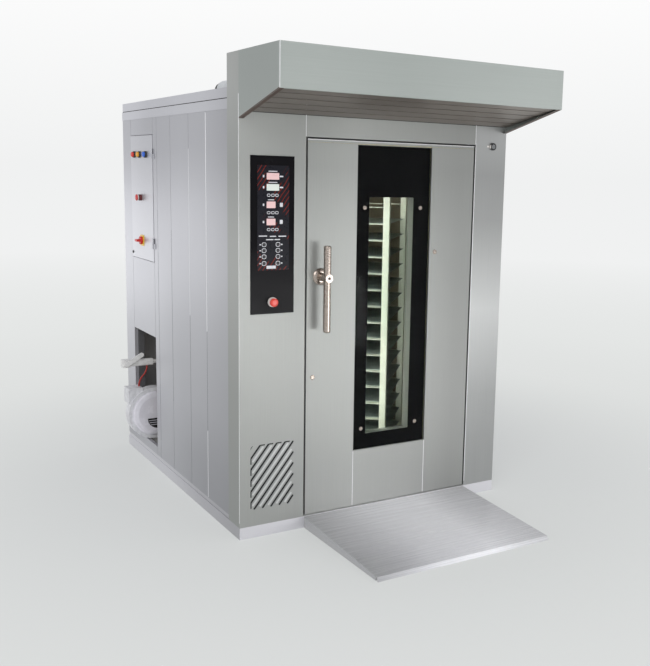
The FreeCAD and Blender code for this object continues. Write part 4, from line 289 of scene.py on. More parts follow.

# %% [markdown]
# The chamber's lining has turned straw brown with heat, and painted shade darkens it behind
# the air wall. The ramp is pale, finely ground plate with its grain across the way in and a
# painted highlight across its middle, and the rack is a warm, slightly dull tube.

# %% Inner sheet, ramp and rack
inner_steel = brushed_sheet("inner_steel", colour(140, 132, 118), colour(170, 162, 144), 0.40,
                            0.15)
ramp_steel = brushed_sheet("ramp_steel", colour(238, 238, 242), colour(250, 250, 252), 0.26,
                           0.1, "X", 380.0)
rack_steel = brushed_sheet("rack_steel", colour(202, 204, 196), colour(228, 230, 218), 0.38,
                           0.4)
air_wall_back = 0.607
# painted shade: the lining behind the air wall is darker
shade_along(inner_steel, "Y", air_wall_back, air_wall_back + 0.005, 1.0, 0.4)
# painted highlight: the ramp is lighter across its middle
shade_along(ramp_steel, "X", -0.5, 0.5, 0.5, 0.68, 0.9, 1.0, 1.0, 0.78, 0.66)
paint(inner_steel, "floor_panel", "chamber_walls", "chamber_ceiling", "cabinet_box",
      "fan_case")
paint(ramp_steel, "ramp")
paint(rack_steel, "rack_frame", "rack_shaft")

# %% [markdown]
# ## Baked, cast and painted parts
# Baking sheets darken with oil and heat in cloudy patches, so they get an even noise instead
# of a drawn-out one. Cast iron has a coarse skin. Painted housings only need a fine orange
# peel in the gloss.

# %% A mottled finish
def mottled(name, dark, light, metallic, roughness, scale, bump=0.1, depth=0.0006):
    material = surface(name, light, metallic, roughness)
    patches = field(material, (scale, scale, scale), detail=5.0)
    blend_tones(material, patches, dark, light)
    vary_roughness(material, patches, roughness - 0.07, roughness + 0.08)
    raise_grain(material, patches, bump, depth)
    return material


print("mottled() lays even patches")

# %% Sheets, motors, burner and castors
baked_sheet = mottled("baked_sheet", colour(118, 128, 128), colour(176, 186, 186), 0.4, 0.42,
                      9.0)
cast_iron = mottled("cast_iron", colour(70, 70, 72), colour(100, 100, 102), 0.6, 0.6, 60.0,
                    0.3)
motor_enamel = mottled("motor_enamel", colour(208, 211, 214), colour(222, 225, 228), 0.0, 0.32,
                       25.0)
burner_grey = mottled("burner_grey", colour(214, 214, 218), colour(234, 234, 238), 0.05, 0.38,
                      40.0, 0.05)
burner_white = mottled("burner_white", colour(222, 220, 228), colour(236, 234, 242), 0.0, 0.25,
                       12.0, 0.03)
valve_white = mottled("valve_white", colour(222, 221, 220), colour(242, 241, 240), 0.0, 0.35,
                      45.0)
heat_steel = mottled("heat_steel", colour(74, 68, 66), colour(128, 104, 92), 0.6, 0.5, 6.0)
fan_steel = mottled("fan_steel", colour(96, 97, 100), colour(128, 130, 134), 0.5, 0.45, 14.0)
zinc = mottled("zinc", colour(158, 160, 166), colour(186, 188, 194), 0.7, 0.4, 80.0)
resin = mottled("resin", colour(50, 34, 28), colour(72, 50, 40), 0.0, 0.5, 70.0)
paint(baked_sheet, "baking_sheets")
paint(cast_iron, "steam_cascade")
paint(motor_enamel, "rack_gearmotor", "fan_motor", "motor_pulley")
paint(burner_grey, "burner_body")
paint(burner_white, "burner_cover")
paint(valve_white, "fuel_valve", "fuel_valve_lever")
paint(heat_steel, "heat_exchanger")
paint(fan_steel, "circulation_fan", "damper_blade")
paint(zinc, "castor_fork_1", "castor_fork_2")
paint(resin, *(f"castor_wheel_{i}" for i in range(1, 5)))

# %% [markdown]
# The flue and the top sheet are plain satin steel. Mineral wool is matt, yellow-brown and
# rough, so its bump is far deeper than that of paint and hardly any light glances off it.

# %% Flue, top sheet and wool
flue_steel = brushed_sheet("flue_steel", colour(160, 161, 163), colour(188, 189, 191), 0.34)
mineral_wool = mottled("mineral_wool", colour(150, 138, 96), colour(196, 184, 138), 0.0, 0.95,
                       130.0, 0.7, 0.003)
paint(flue_steel, "flue_pipes", "roof_deck")
paint(mineral_wool, "wall_insulation", "ceiling_insulation", "door_core")

# %% [markdown]
# ## Polished handle and small bright parts
# The handle bar, its boss and the latch bolt are polished. Polish means low roughness, and
# what makes it read as metal is the room that it mirrors, so there is only a trace of grain
# from the buffing wheel.

# %% Polished metal
polished = surface("polished_steel", colour(178, 166, 156), 1.0, 0.24)
buffing = field(polished, (90.0, 90.0, 900.0), detail=2.0)
blend_tones(polished, buffing, colour(160, 148, 139), colour(192, 181, 172))
vary_roughness(polished, buffing, 0.20, 0.30)
paint(polished, "door_handle", "door_trim", "latch_bolt")
paint(side_steel, "hinge_pins")

# %% [markdown]
# ## Rubber and black plastic
# The door seal, the belt and the key switch housings are black but never pure black. A
# little dust lifts their tone in patches.

# %% Rubber and black plastic
rubber = mottled("rubber", colour(30, 30, 31), colour(48, 48, 48), 0.0, 0.6, 55.0, 0.15)
black_plastic = mottled("black_plastic", colour(22, 22, 24), colour(34, 34, 36), 0.0, 0.4, 90.0)
paint(rubber, "door_gasket", "drive_belt")
paint(black_plastic, "cabinet_electrics")

# %% [markdown]
# ## Glass
# The window is a clear pane with a black border printed on its back. Only the pane lets
# light through: full transmission, a trace of green, and a faint waviness so that its
# reflections aren't perfect. The control panel is the same black glass, with nothing behind.

# %% Window pane, its border and the panel glass
pane = surface("window_pane", colour(238, 242, 239), 0.0, 0.02)
pane_shader = pane.node_tree.nodes["Principled BSDF"]
pane_shader.inputs["Transmission Weight"].default_value = 1.0
pane_shader.inputs["IOR"].default_value = 1.06
ripple = field(pane, (3.0, 3.0, 2.0), detail=1.0)
blend_tones(pane, ripple, colour(234, 239, 235), colour(244, 247, 244))
raise_grain(pane, ripple, 0.01, 0.0003)
black_print = mottled("black_print", colour(11, 10, 13), colour(16, 15, 18), 0.0, 0.5, 4.0,
                      0.01)
black_glass = mottled("black_glass", colour(14, 13, 16), colour(21, 20, 23), 0.0, 0.2, 4.0,
                      0.01)
for dark in (black_print, black_glass):
    dark.node_tree.nodes["Principled BSDF"].inputs["Specular IOR Level"].default_value = 0.05
paint(pane, "window_glass")
paint(black_print, "window_mask")
paint(black_glass, "control_glass")

# %% [markdown]
# ## Small parts of more than one colour
# The stop button's collar is white and the lamp switch's is black, yet both are in one node.
# A material can tell them apart by place: the object coordinate along one axis goes into a
# colour ramp with hard steps. The first number of each step is where its colour starts, in
# metres.

# %% Colour by place
def banded(name, axis, start, end, bands, roughness=0.35, wear=0.04):
    material = surface(name, bands[0][1], 0.0, roughness)
    tree = material.node_tree
    ramp = ramp_along(material, axis, start, end)
    ramp.color_ramp.interpolation = "CONSTANT"
    stops = ramp.color_ramp.elements
    stops[0].position, stops[0].color = 0.0, bands[0][1]
    stops[1].position, stops[1].color = (bands[1][0] - start) / (end - start), bands[1][1]
    for edge, tone in bands[2:]:
        stops.new((edge - start) / (end - start)).color = tone
    tree.links.new(ramp.outputs["Color"], tree.nodes["Principled BSDF"].inputs["Base Color"])
    scuffs = field(material, (120.0, 120.0, 120.0))
    vary_roughness(material, scuffs, roughness - wear, roughness + 2 * wear)
    return material


print("banded() steps from colour to colour")

# %% Collars, buttons and pilot lights
red, white, black = colour(226, 74, 62), colour(232, 228, 224), colour(26, 26, 28)
collars = banded("switch_collars", "X", -1.0, 1.0, [(-1.0, white), (0.6135, black)])
cabinet_collars = banded("cabinet_collars", "Z", 1.2, 2.0, [(1.2, black),
                         (1.35, colour(236, 196, 52)), (1.46, colour(96, 34, 36)),
                         (1.75, colour(46, 46, 50))])
stop_red = banded("stop_red", "Y", -0.8, -0.6, [(-0.8, red), (-0.712, white)], 0.28)
lamp_grey = mottled("lamp_grey", colour(118, 120, 122), colour(150, 152, 154), 0.0, 0.35, 60.0)
pilots = banded("pilot_lenses", "Y", 0.6, 1.1, [(0.6, colour(64, 112, 216)),
                (0.79, colour(236, 170, 60)), (0.9, colour(222, 66, 56))], 0.18)
button_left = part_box("cabinet_button")[0].x
cap_depth = 0.009
start_button = banded("start_button", "X", -0.95, -0.85, [(-0.95, colour(206, 52, 50)),
                      (button_left + cap_depth, white)], 0.3)
isolator = mottled("isolator_red", colour(196, 36, 32), colour(214, 50, 44), 0.0, 0.34, 70.0,
                   0.03)
paint(collars, "switch_bezels")
paint(cabinet_collars, "cabinet_door_fittings")
paint(stop_red, "estop_button")
paint(lamp_grey, "lamp_switch_button")
paint(pilots, "pilot_lights")
paint(start_button, "cabinet_button")
paint(isolator, "isolator_handle")

# %% [markdown]
# ## Building flat plates in code
# Displays, keys and labels are thin plates with rounded corners. A plain box would look like
# a toy, so one helper draws a rounded outline, gives it thickness and rounds its front edge.
# Smaller helpers do what every hand-built piece needs: one turns the drawn faces into a
# mesh, one gives a flat face its thickness, and one sets the piece on the body it moves with.

# %% From faces to a piece
def mesh_of(build, name):
    mesh = bpy.data.meshes.new(name)
    build.to_mesh(mesh)
    build.free()
    return mesh


def thicken(build, face, thick):
    """Draw a face back along Y."""
    sides = bmesh.ops.extrude_face_region(build, geom=[face])["geom"]
    moved = [v for v in sides if isinstance(v, bmesh.types.BMVert)]
    bmesh.ops.translate(build, verts=moved, vec=(0, thick, 0))
    bmesh.ops.recalc_face_normals(build, faces=build.faces)


def add_piece(name, mesh, material, body):
    piece = bpy.data.objects.new(name, mesh)
    bpy.context.scene.collection.objects.link(piece)
    piece.data.materials.append(material)
    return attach(piece, body)


print("mesh_of(), thicken() and add_piece() are ready")


# %% A rounded plate facing the front
def plate(name, x, z, wide, high, front, thick, corner, material, body="root", bevel=0.0003):
    """A plate centred at (x, z), its front at y = front, going back by its thickness."""
    build = bmesh.new()
    outline = []
    for cx, cz, start in ((wide / 2 - corner, high / 2 - corner, 0),
                          (corner - wide / 2, high / 2 - corner, 90),
                          (corner - wide / 2, corner - high / 2, 180),
                          (wide / 2 - corner, corner - high / 2, 270)):
        for step in range(5):
            angle = math.radians(start + 22.5 * step)
            outline.append(build.verts.new((x + cx + corner * math.cos(angle), front,
                                            z + cz + corner * math.sin(angle))))
    thicken(build, build.faces.new(outline), thick)
    piece = add_piece(name, mesh_of(build, name), material, body)
    edge = piece.modifiers.new("edge", "BEVEL")
    edge.width, edge.segments, edge.limit_method = bevel, 2, "ANGLE"
    return piece


print("plate() is ready")

# %% [markdown]
# ## The control panel's key film
# Behind the keys is a printed film: dark blue-grey, with plain diagonal bands of a deep red
# in loose patches. The bands are a wave along one slanting direction, kept to the patches by
# a broad noise and cut into steps by a ramp, so nothing is drawn by hand. The film, its
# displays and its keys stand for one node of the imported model.

# %% Film ink with diagonal bands
film_ink = surface("film_ink", colour(34, 36, 48), 0.0, 0.6)
film_ink.node_tree.nodes["Principled BSDF"].inputs["Specular IOR Level"].default_value = 0.1
tree = film_ink.node_tree
place = tree.nodes.new("ShaderNodeTexCoord")
turn = tree.nodes.new("ShaderNodeMapping")
turn.inputs["Rotation"].default_value = (0, math.radians(-35), 0)
wave = tree.nodes.new("ShaderNodeTexWave")
wave.bands_direction = "X"
wave.inputs["Scale"].default_value = 17.0
wave.inputs["Distortion"].default_value = 1.6
wave.inputs["Detail"].default_value = 1.0
steps = tree.nodes.new("ShaderNodeValToRGB")
steps.color_ramp.interpolation = "CONSTANT"
stops = steps.color_ramp.elements
stops[0].position, stops[0].color = 0.0, colour(28, 28, 35)
stops[1].position, stops[1].color = 0.74, colour(50, 24, 26)
stops.new(0.88).color = colour(112, 38, 30)
tree.links.new(place.outputs["Object"], turn.inputs["Vector"])
tree.links.new(turn.outputs["Vector"], wave.inputs["Vector"])
patch = span_from(tree, 0.47, 0.54)
patch.inputs["To Min"].default_value = 0.62
kept = tree.nodes.new("ShaderNodeMath")
kept.operation = "MULTIPLY"
tree.links.new(field(film_ink, (7.0, 7.0, 7.0), detail=1.0), patch.inputs["Value"])
tree.links.new(wave.outputs["Fac"], kept.inputs[0])
tree.links.new(patch.outputs["Result"], kept.inputs[1])
tree.links.new(kept.outputs["Value"], steps.inputs["Fac"])
tree.links.new(steps.outputs["Color"], tree.nodes["Principled BSDF"].inputs["Base Color"])
vary_roughness(film_ink, field(film_ink, (60.0, 60.0, 60.0)), 0.24, 0.36)
print("film ink mixed")

# %% Key film
low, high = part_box("control_film")
film_thick, film_corner = 0.0008, 0.006
film = plate("key_film", (low.x + high.x) / 2, (low.z + high.z) / 2, high.x - low.x,
             high.z - low.z, low.y + film_thick, film_thick, film_corner, film_ink)
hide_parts("control_film")
print("film", [round(v, 4) for v in (*low, *high)])

# %% [markdown]
# The four displays are pale windows with a slight glow, like lit liquid crystal. The keys
# below them are short bars and round buttons, and plain strokes beside them tell the rows
# apart.

# %% Displays and keys
def glowing(name, tone, strength):
    material = mottled(name, tone, tone, 0.0, 0.3, 30.0, 0.01)
    shader = material.node_tree.nodes["Principled BSDF"]
    shader.inputs["Emission Color"].default_value = tone
    shader.inputs["Emission Strength"].default_value = strength
    return material


display_pink = glowing("display_pink", colour(226, 190, 190), 0.12)
display_white = glowing("display_white", colour(214, 220, 214), 0.12)
key_black = mottled("key_black", colour(20, 20, 24), colour(30, 30, 36), 0.0, 0.35, 90.0)
key_ring = mottled("key_ring", colour(206, 206, 212), colour(226, 226, 232), 0.0, 0.35, 90.0)
key_front = low.y
mark_front, mark_thick = key_front + 0.0004, 0.0004
display_left, display_thick = -0.729, 0.0008


def mark(name, x, z, wide, high, corner):
    plate(name, x, z, wide, high, mark_front, mark_thick, corner, key_ring)


for row, (z, wide, glow) in enumerate(((1.820, 0.066, display_pink),
                                       (1.767, 0.066, display_white),
                                       (1.683, 0.047, display_pink),
                                       (1.600, 0.047, display_pink)), 1):
    plate(f"display_{row}", display_left + wide / 2, z, wide, 0.032, key_front,
          display_thick, 0.003, glow)
    mark(f"display_cap_{row}", display_left + wide / 2, z + 0.024, wide * 0.7, 0.004, 0.0015)
    mark(f"display_mark_left_{row}", display_left - 0.016, z, 0.008, 0.012, 0.003)
    right_wide, right_high = (0.020, 0.007) if row < 3 else (0.016, 0.020)
    mark(f"display_mark_right_{row}", display_left + 0.078, z, right_wide, right_high, 0.003)
print("4 displays")


# %% Rows of small keys
ring_front, ring_thick, ring_wide = key_front + 0.0003, 0.0005, 0.005


def ringed_key(name, x, z, wide, high):
    corner = min(wide, high) * 0.4
    plate(name + "_ring", x, z, wide, high, ring_front, ring_thick, corner, key_ring)
    plate(name, x, z, wide - ring_wide, high - ring_wide, key_front, 0.0003, corner - 0.0022,
          key_black, bevel=0.00008)


for row, z in enumerate((1.729, 1.645, 1.563), 1):
    for side, x in (("left", -0.718), ("middle", -0.696), ("right", -0.675)):
        ringed_key(f"small_key_{side}_{row}", x, z, 0.018, 0.014)
for row, z in enumerate((1.490, 1.461, 1.431, 1.398), 1):
    ringed_key(f"key_left_{row}", -0.742, z, 0.024, 0.022)
    ringed_key(f"key_right_{row}", -0.668, z, 0.024, 0.022)
    mark(f"key_mark_left_{row}", -0.762, z, 0.008, 0.006, 0.002)
    mark(f"key_mark_right_{row}", -0.648, z, 0.008, 0.006, 0.002)
for i, (x, z, wide) in enumerate(((-0.748, 1.532, 0.044), (-0.695, 1.530, 0.034),
                                  (-0.645, 1.530, 0.042), (-0.712, 1.514, 0.040),
                                  (-0.672, 1.514, 0.030)), 1):
    mark(f"caption_{i}", x, z, wide, 0.005, 0.002)
plate("foot_label", -0.704, 1.379, 0.050, 0.015, ring_front, ring_thick, 0.002, key_ring)
print("keys and marks placed")

# %% [markdown]
# ## Fold lines
# Where two sheets meet, each is folded back with a small radius. Where it faces a lamp that
# radius is a bright hairline, and elsewhere the joint between the folds is a dark one. At
# this size the fold is a slim arched bead along the joint, and the bright hairlines are
# painted highlights on near-white beads. The helper sweeps a low arc from one point to
# another: it needs to know which way is across the bead and which way is out of the sheet.

# %% A slim arched bead
def bead(name, start, end, across, out, wide, proud, material, body="root"):
    start, end, across, out = (Vector(v) for v in (start, end, across, out))
    build = bmesh.new()
    rings = []
    for spot in (start, end):
        ring = []
        for step in range(7):
            angle = math.pi * step / 6
            ring.append(build.verts.new(spot - across * (wide / 2 * math.cos(angle))
                                        + out * (proud * math.sin(angle))))
        rings.append(ring)
    for i in range(7):
        after = (i + 1) % 7
        build.faces.new((rings[0][i], rings[0][after], rings[1][after], rings[1][i]))
    for ring in rings:
        build.faces.new(ring)
    bmesh.ops.recalc_face_normals(build, faces=build.faces)
    return add_piece(name, mesh_of(build, name), material, body)


print("bead() is ready")

# %% Painted highlights on the folds of the front
fold_highlight = brushed_sheet("fold_highlight", colour(232, 232, 234), colour(248, 248, 250), 0.34,
                            0.1)
X, Y, Z = (1, 0, 0), (0, 1, 0), (0, 0, 1)
forward, leftward = (0, -1, 0), (-1, 0, 0)
front, plinth_top, lintel_foot = -0.7, 0.088, 2.018
for side, x in (("left", -0.518), ("right", 0.518)):
    bead(f"lintel_fold_{side}", (x, front, lintel_foot), (x, front, 2.199), X, forward,
         0.0035, 0.0008, fold_highlight)
bead("pillar_fold", (-0.871, -0.6975, plinth_top), (-0.871, -0.6975, 2.2), Y, leftward,
     0.005, 0.0008, fold_highlight)
for side, x in (("left", -0.2245), ("right", 0.2305)):
    bead(f"door_fold_{side}", (x, front, 0.072), (x, front, 0.374), X, forward, 0.0035,
         0.0008, fold_highlight, "door")
bead("door_fold_top", (-0.509, front, 2.0055), (0.509, front, 2.0055), Z, forward, 0.003,
     0.0006, fold_highlight, "door")
print("folds on", front)

# %% Folds and joints of the side panels
panel_face = -0.869
# black beads of painted shade for gaps and steps
painted_gap_shade = mottled("painted_gap_shade", colour(16, 16, 17), colour(26, 26, 27), 0.0, 0.7, 80.0)
seam_shade = mottled("seam_shade", colour(96, 94, 100), colour(124, 122, 128), 0.2, 0.6, 60.0)
# painted highlights on the side folds; the beads after them are dark joints
for i, (y, low_end, high_end, wide) in enumerate(((-0.258, 1.0, 2.13, 0.0055),
                                                  (-0.258, 0.09, 0.46, 0.0045),
                                                  (0.0, 1.05, 1.95, 0.003)), 1):
    bead(f"side_fold_{i}", (panel_face, y, low_end), (panel_face, y, high_end), Y, leftward,
         wide, wide / 4, fold_highlight)
for i, (y, low_end, high_end) in enumerate(((-0.258, 0.46, 1.0), (0.0, 0.4, 1.05),
                                            (0.298, 0.5, 1.5), (0.541, 0.2, 1.6)), 1):
    bead(f"side_joint_{i}", (panel_face, y, low_end), (panel_face, y, high_end), Y, leftward,
         0.0035, 0.0005, seam_shade)
print("fold lines along", panel_face)

# %% Painted shade in the door gap, and the lines beside it
# painted shade: black beads make the gap round the door wide and dark
for side, x in (("left", -0.5115), ("right", 0.5115)):
    bead(f"door_gap_shadow_{side}", (x, front, 0.071), (x, front, 2.012), X, forward, 0.007,
         0.0003, painted_gap_shade, "door")
bead("door_gap_shadow_top", (-0.513, front, 2.0105), (0.513, front, 2.0105), Z, forward, 0.005,
     0.0003, painted_gap_shade, "door")
# painted highlight on the opening's right fold
bead("opening_fold_right", (0.5205, front, plinth_top), (0.5205, front, 2.016), X, forward,
     0.0035, 0.0006, fold_highlight)
# painted shade in the step of the roof trim
bead("trim_line", (-0.868, -0.554, 2.187), (-0.868, 1.215, 2.187), Z, leftward, 0.005,
     0.0004, painted_gap_shade)
print("door seal laid")

# %% [markdown]
# ## Louvres
# The vent in the left pillar has slanting slots with a pressed rib between each pair. The
# slots are already cut in the imported model, so what is left is the ribs and painted shade:
# a dark plate behind the slots, a dark strip over each slot, and a dark hook where each
# slot turns along the border of the field.

# %% Painted shade behind the louvres
field_low = Vector((-0.813, 0.148))
field_high = Vector((-0.575, 0.484))
slant = math.radians(51.5)
pitch = 0.046
vent_shade = mottled("vent_shade", colour(14, 14, 15), colour(24, 24, 26), 0.0, 0.7, 60.0)
plate("louvre_shade_plate", -0.694, 0.316, 0.250, 0.348, front + 0.0025, 0.002, 0.02, vent_shade)


def clipped(foot, inset):
    """Where a slanting line through (foot, lowest z) enters and leaves the field."""
    low_x, high_x = field_low.x + inset, field_high.x - inset
    low_z, high_z = field_low.y + inset, field_high.y - inset
    rise = math.tan(slant)
    start = max(low_z, field_low.y + (low_x - foot) * rise)
    end = min(high_z, field_low.y + (high_x - foot) * rise)
    if end - start < 0.02:
        return None
    return [(foot + (z - field_low.y) / rise, z) for z in (start, end)]


print("louvre field", tuple(field_low), "to", tuple(field_high))

# %% Louvre ribs, slots and hooks
across = (math.sin(slant), 0, -math.cos(slant))
rib_steel = brushed_sheet("rib_steel", colour(186, 187, 187), colour(204, 205, 205), 0.38,
                          0.5)
count = 0
for i in range(-6, 6):
    foot = field_low.x + 0.016 + i * pitch
    rib = clipped(foot + pitch * 0.56, 0.012)
    if rib:
        count += 1
        (x0, z0), (x1, z1) = rib
        bead(f"louvre_rib_{count}", (x0, front, z0), (x1, front, z1), across, forward,
             0.010, 0.0012, rib_steel)
    # painted shade over the slot, and dark hooks at the border
    slot = clipped(foot + 0.001, 0.003)
    if slot:
        (x0, z0), (x1, z1) = slot
        bead(f"louvre_slot_{count}", (x0, front, z0), (x1, front, z1), across, forward,
             0.0085, 0.0004, vent_shade)
        if x0 < field_low.x + 0.01:
            bead(f"louvre_hook_left_{count}", (x0, front, z0), (x0, front, z0 - 0.032), X,
                 forward, 0.006, 0.0005, vent_shade)
        if z1 > field_high.y - 0.01:
            reach = min(0.026, field_high.x - x1 - 0.002)
            bead(f"louvre_hook_top_{count}", (x1, front, z1), (x1 + reach, front, z1), Z,
                 forward, 0.006, 0.0005, vent_shade)
print(count, "ribs")

# %% [markdown]
# ## Hood edges
# The hood's cheeks are turned under, and the turned edge is in shade and stained. A dark
# bead along the left cheek's lower edge and a flat one below each flange paint that line,
# as stain and painted shade, and a thin bead of painted shade lies where the slats end at the
# pillars. The front left corner is folded, and a near-white bead paints its highlight.

# %% Stained edges with painted shade
stain_and_shade = mottled("stain_and_shade_edge", colour(74, 58, 52), colour(104, 86, 78), 0.3, 0.5, 30.0)
hood_low, hood_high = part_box("hood_shell")
flange_y = -1.153
slope = Vector((0, flange_y + 0.7, 2.198 - 2.086)).normalized()
normal = Vector((0, -slope.z, slope.y))
bead("cheek_edge", (hood_low.x, -0.703, 2.089), (hood_low.x, -1.150, 2.2), normal, leftward,
     0.005, 0.0012, stain_and_shade)
for side, x in (("left", hood_low.x + 0.012), ("right", hood_high.x - 0.012)):
    bead(f"cheek_fold_{side}", (x, -0.703, 2.0862), (x, -1.150, 2.1982), X, -normal, 0.022,
         0.0008, stain_and_shade)
corner_line = hood_low.x + 0.001
# painted highlight on the folded corner
bead("hood_corner_light", (corner_line, flange_y, 2.2), (corner_line, flange_y, 2.394), X,
     forward, 0.003, 0.0008, fold_highlight)
# painted shade where the slats meet the pillars and the lintel
foot_y = front - 0.0002
bead("hood_foot_line", (-0.845, foot_y, 2.121), (0.703, foot_y, 2.121), Z, forward, 0.004,
     0.0004, painted_gap_shade)
print("hood from", [round(v, 3) for v in hood_low], "to", [round(v, 3) for v in hood_high])

# %% [markdown]
# ## Burner cover details
# The round cover of the burner has a fan of small air slits in one quarter and a screw boss
# at its foot. The slits are drawn as a dark quarter of painted shade crossed by three bars.

# %% Grille and boss
cover_low, cover_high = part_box("burner_cover")
cover_x, cover_z = (cover_low.x + cover_high.x) / 2, (cover_low.z + cover_high.z) / 2
corner_x, corner_z, reach = cover_x + 0.012, cover_z - 0.028, 0.066
grille_y, quarter_steps = cover_low.y - 0.0004, 8
build = bmesh.new()
ring = [build.verts.new((corner_x, grille_y, corner_z))]
for step in range(quarter_steps + 1):
    angle = math.radians(180 + 90 * step / quarter_steps)
    ring.append(build.verts.new((corner_x + reach * math.cos(angle), grille_y,
                                 corner_z + reach * math.sin(angle))))
thicken(build, build.faces.new(ring), 0.0008)
# painted shade: the dark quarter stands for the dark behind the slits
add_piece("cover_grille", mesh_of(build, "cover_grille"), vent_shade, "root")
for i in range(3):
    drop = 0.014 + 0.014 * i
    run = math.sqrt(reach ** 2 - drop ** 2) - 0.004
    bead(f"grille_bar_{i + 1}", (corner_x - run, grille_y, corner_z - drop),
         (corner_x - 0.003, grille_y, corner_z - drop), Z, forward, 0.0035, 0.0012,
         burner_white)
plate("cover_boss", cover_x + 0.002, cover_z - 0.112, 0.038, 0.030, cover_low.y + 0.004,
      0.010, 0.008, burner_grey, bevel=0.002)
print("cover centre", round(cover_x, 3), round(cover_z, 3))

# %% [markdown]
# ## A dark dot in the handle's cap
# The cap on the handle's end has a small screw hole at its centre. A thin dark disc of
# painted shade stands for it.

# %% Cap centre
cap_dark = mottled("cap_dark", colour(60, 60, 60), colour(84, 84, 84), 0.5, 0.5, 60.0)
cap_x, cap_z, cap_wide = -0.432, 1.322, 0.014
# painted shade for the screw hole
plate("cap_centre", cap_x, cap_z, cap_wide, cap_wide, -0.7985, 0.0005, 0.0069, cap_dark,
      "door_handle", bevel=0.0001)
print("cap centre at", cap_x, cap_z)

# %% [markdown]
# ## The fuel hose
# A short rubber hose runs from the valve down to the burner's control box. Four points are
# enough for so stiff a piece: straight down out of the valve, a gentle S, and straight into
# the box. A NURBS curve through that cage bends evenly, which is how a hose bends.

# %% Hose as a smooth curve
hose_rubber = mottled("hose_rubber", colour(150, 34, 30), colour(188, 52, 44), 0.0, 0.45, 160.0,
                      0.3, 0.0003)
hose_curve = bpy.data.curves.new("fuel_hose_line", "CURVE")
hose_curve.dimensions = "3D"
hose_curve.bevel_depth = 0.005
hose_curve.bevel_resolution = 6
hose_curve.resolution_u = 24
spline = hose_curve.splines.new("NURBS")
hose_points = ((-0.851, 0.862, 0.6055), (-0.851, 0.862, 0.566), (-0.904, 0.862, 0.514),
               (-0.904, 0.862, 0.4745))
spline.points.add(len(hose_points) - 1)
for point, spot in zip(spline.points, hose_points):
    point.co = (*spot, 1.0)
spline.order_u = 3
spline.use_endpoint_u = True
hose = bpy.data.objects.new("fuel_hose_rubber", hose_curve)
bpy.context.scene.collection.objects.link(hose)
hose.data.materials.append(hose_rubber)
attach(hose, "root")
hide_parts("fuel_hose")
print("hose laid")

# %% [markdown]
# ## Floor and background
# The floor near the object is a plain pale sheet that takes its shadow. Further out it fades
# into a tone of its own that doesn't depend on the lamps, so that it meets the backdrop
# without a line. The fade is worked out from the floor's own coordinates, so it stays put
# when the camera moves.

# %% Floor
floor_build = bmesh.new()
bmesh.ops.create_grid(floor_build, x_segments=2, y_segments=2, size=60.0)
floor = bpy.data.objects.new("studio_floor", mesh_of(floor_build, "studio_floor"))
bpy.context.scene.collection.objects.link(floor)
floor.location.z = -0.0005
print("floor down")

# %% Floor paint
floor_paint = surface("studio_floor_paint", colour(234, 236, 235), 0.0, 0.9, 0.1)
tree = floor_paint.node_tree
place = tree.nodes.new("ShaderNodeTexCoord")
reach = tree.nodes.new("ShaderNodeVectorMath")
reach.operation = "LENGTH"
tone_span = span_from(tree, 1.5, 16.0)
tones = tree.nodes.new("ShaderNodeValToRGB")
tones.color_ramp.elements[0].color = colour(218, 220, 219)
tones.color_ramp.elements[1].color = colour(240, 241, 241)
tones.color_ramp.elements.new(0.3).color = colour(228, 230, 229)
glow = tree.nodes.new("ShaderNodeEmission")
fade_span = span_from(tree, 1.2, 3.6)
fade_span.interpolation_type = "SMOOTHSTEP"
fade_span.inputs["To Min"].default_value = 0.45
fade = tree.nodes.new("ShaderNodeMixShader")
tree.links.new(place.outputs["Object"], reach.inputs[0])
tree.links.new(reach.outputs["Value"], tone_span.inputs["Value"])
tree.links.new(tone_span.outputs["Result"], tones.inputs["Fac"])
tree.links.new(tones.outputs["Color"], glow.inputs["Color"])
tree.links.new(reach.outputs["Value"], fade_span.inputs["Value"])
tree.links.new(fade_span.outputs["Result"], fade.inputs["Fac"])
tree.links.new(tree.nodes["Principled BSDF"].outputs["BSDF"], fade.inputs[1])
tree.links.new(glow.outputs["Emission"], fade.inputs[2])
tree.links.new(fade.outputs["Shader"], tree.nodes["Material Output"].inputs["Surface"])
floor.data.materials.append(floor_paint)
print("floor painted")

# %% [markdown]
# The world does two jobs. For the camera, and for what is seen through glass, it is a
# backdrop that is pale grey at the horizon and white overhead. For everything else it is a
# soft dome of light at a modest level. The Light Path node tells these rays apart.

# %% World
world = bpy.data.worlds.new("studio")
bpy.context.scene.world = world
world.use_nodes = True
tree = world.node_tree
tree.nodes.clear()
dome = tree.nodes.new("ShaderNodeBackground")
dome.inputs["Color"].default_value = (0.97, 0.98, 1.0, 1.0)
dome.inputs["Strength"].default_value = 0.65
aim = tree.nodes.new("ShaderNodeTexCoord")
height = tree.nodes.new("ShaderNodeSeparateXYZ")
sky_tones = tree.nodes.new("ShaderNodeValToRGB")
sky_tones.color_ramp.elements[0].color = colour(240, 241, 241)
sky_tones.color_ramp.elements[1].position = 0.22
sky_tones.color_ramp.elements[1].color = colour(255, 255, 255)
backdrop = tree.nodes.new("ShaderNodeBackground")
rays = tree.nodes.new("ShaderNodeLightPath")
either = tree.nodes.new("ShaderNodeMath")
either.operation = "MAXIMUM"
chosen = tree.nodes.new("ShaderNodeMixShader")
sky = tree.nodes.new("ShaderNodeOutputWorld")
tree.links.new(aim.outputs["Generated"], height.inputs["Vector"])
tree.links.new(height.outputs["Z"], sky_tones.inputs["Fac"])
tree.links.new(sky_tones.outputs["Color"], backdrop.inputs["Color"])
tree.links.new(rays.outputs["Is Camera Ray"], either.inputs[0])
tree.links.new(rays.outputs["Is Transmission Ray"], either.inputs[1])
tree.links.new(either.outputs["Value"], chosen.inputs["Fac"])
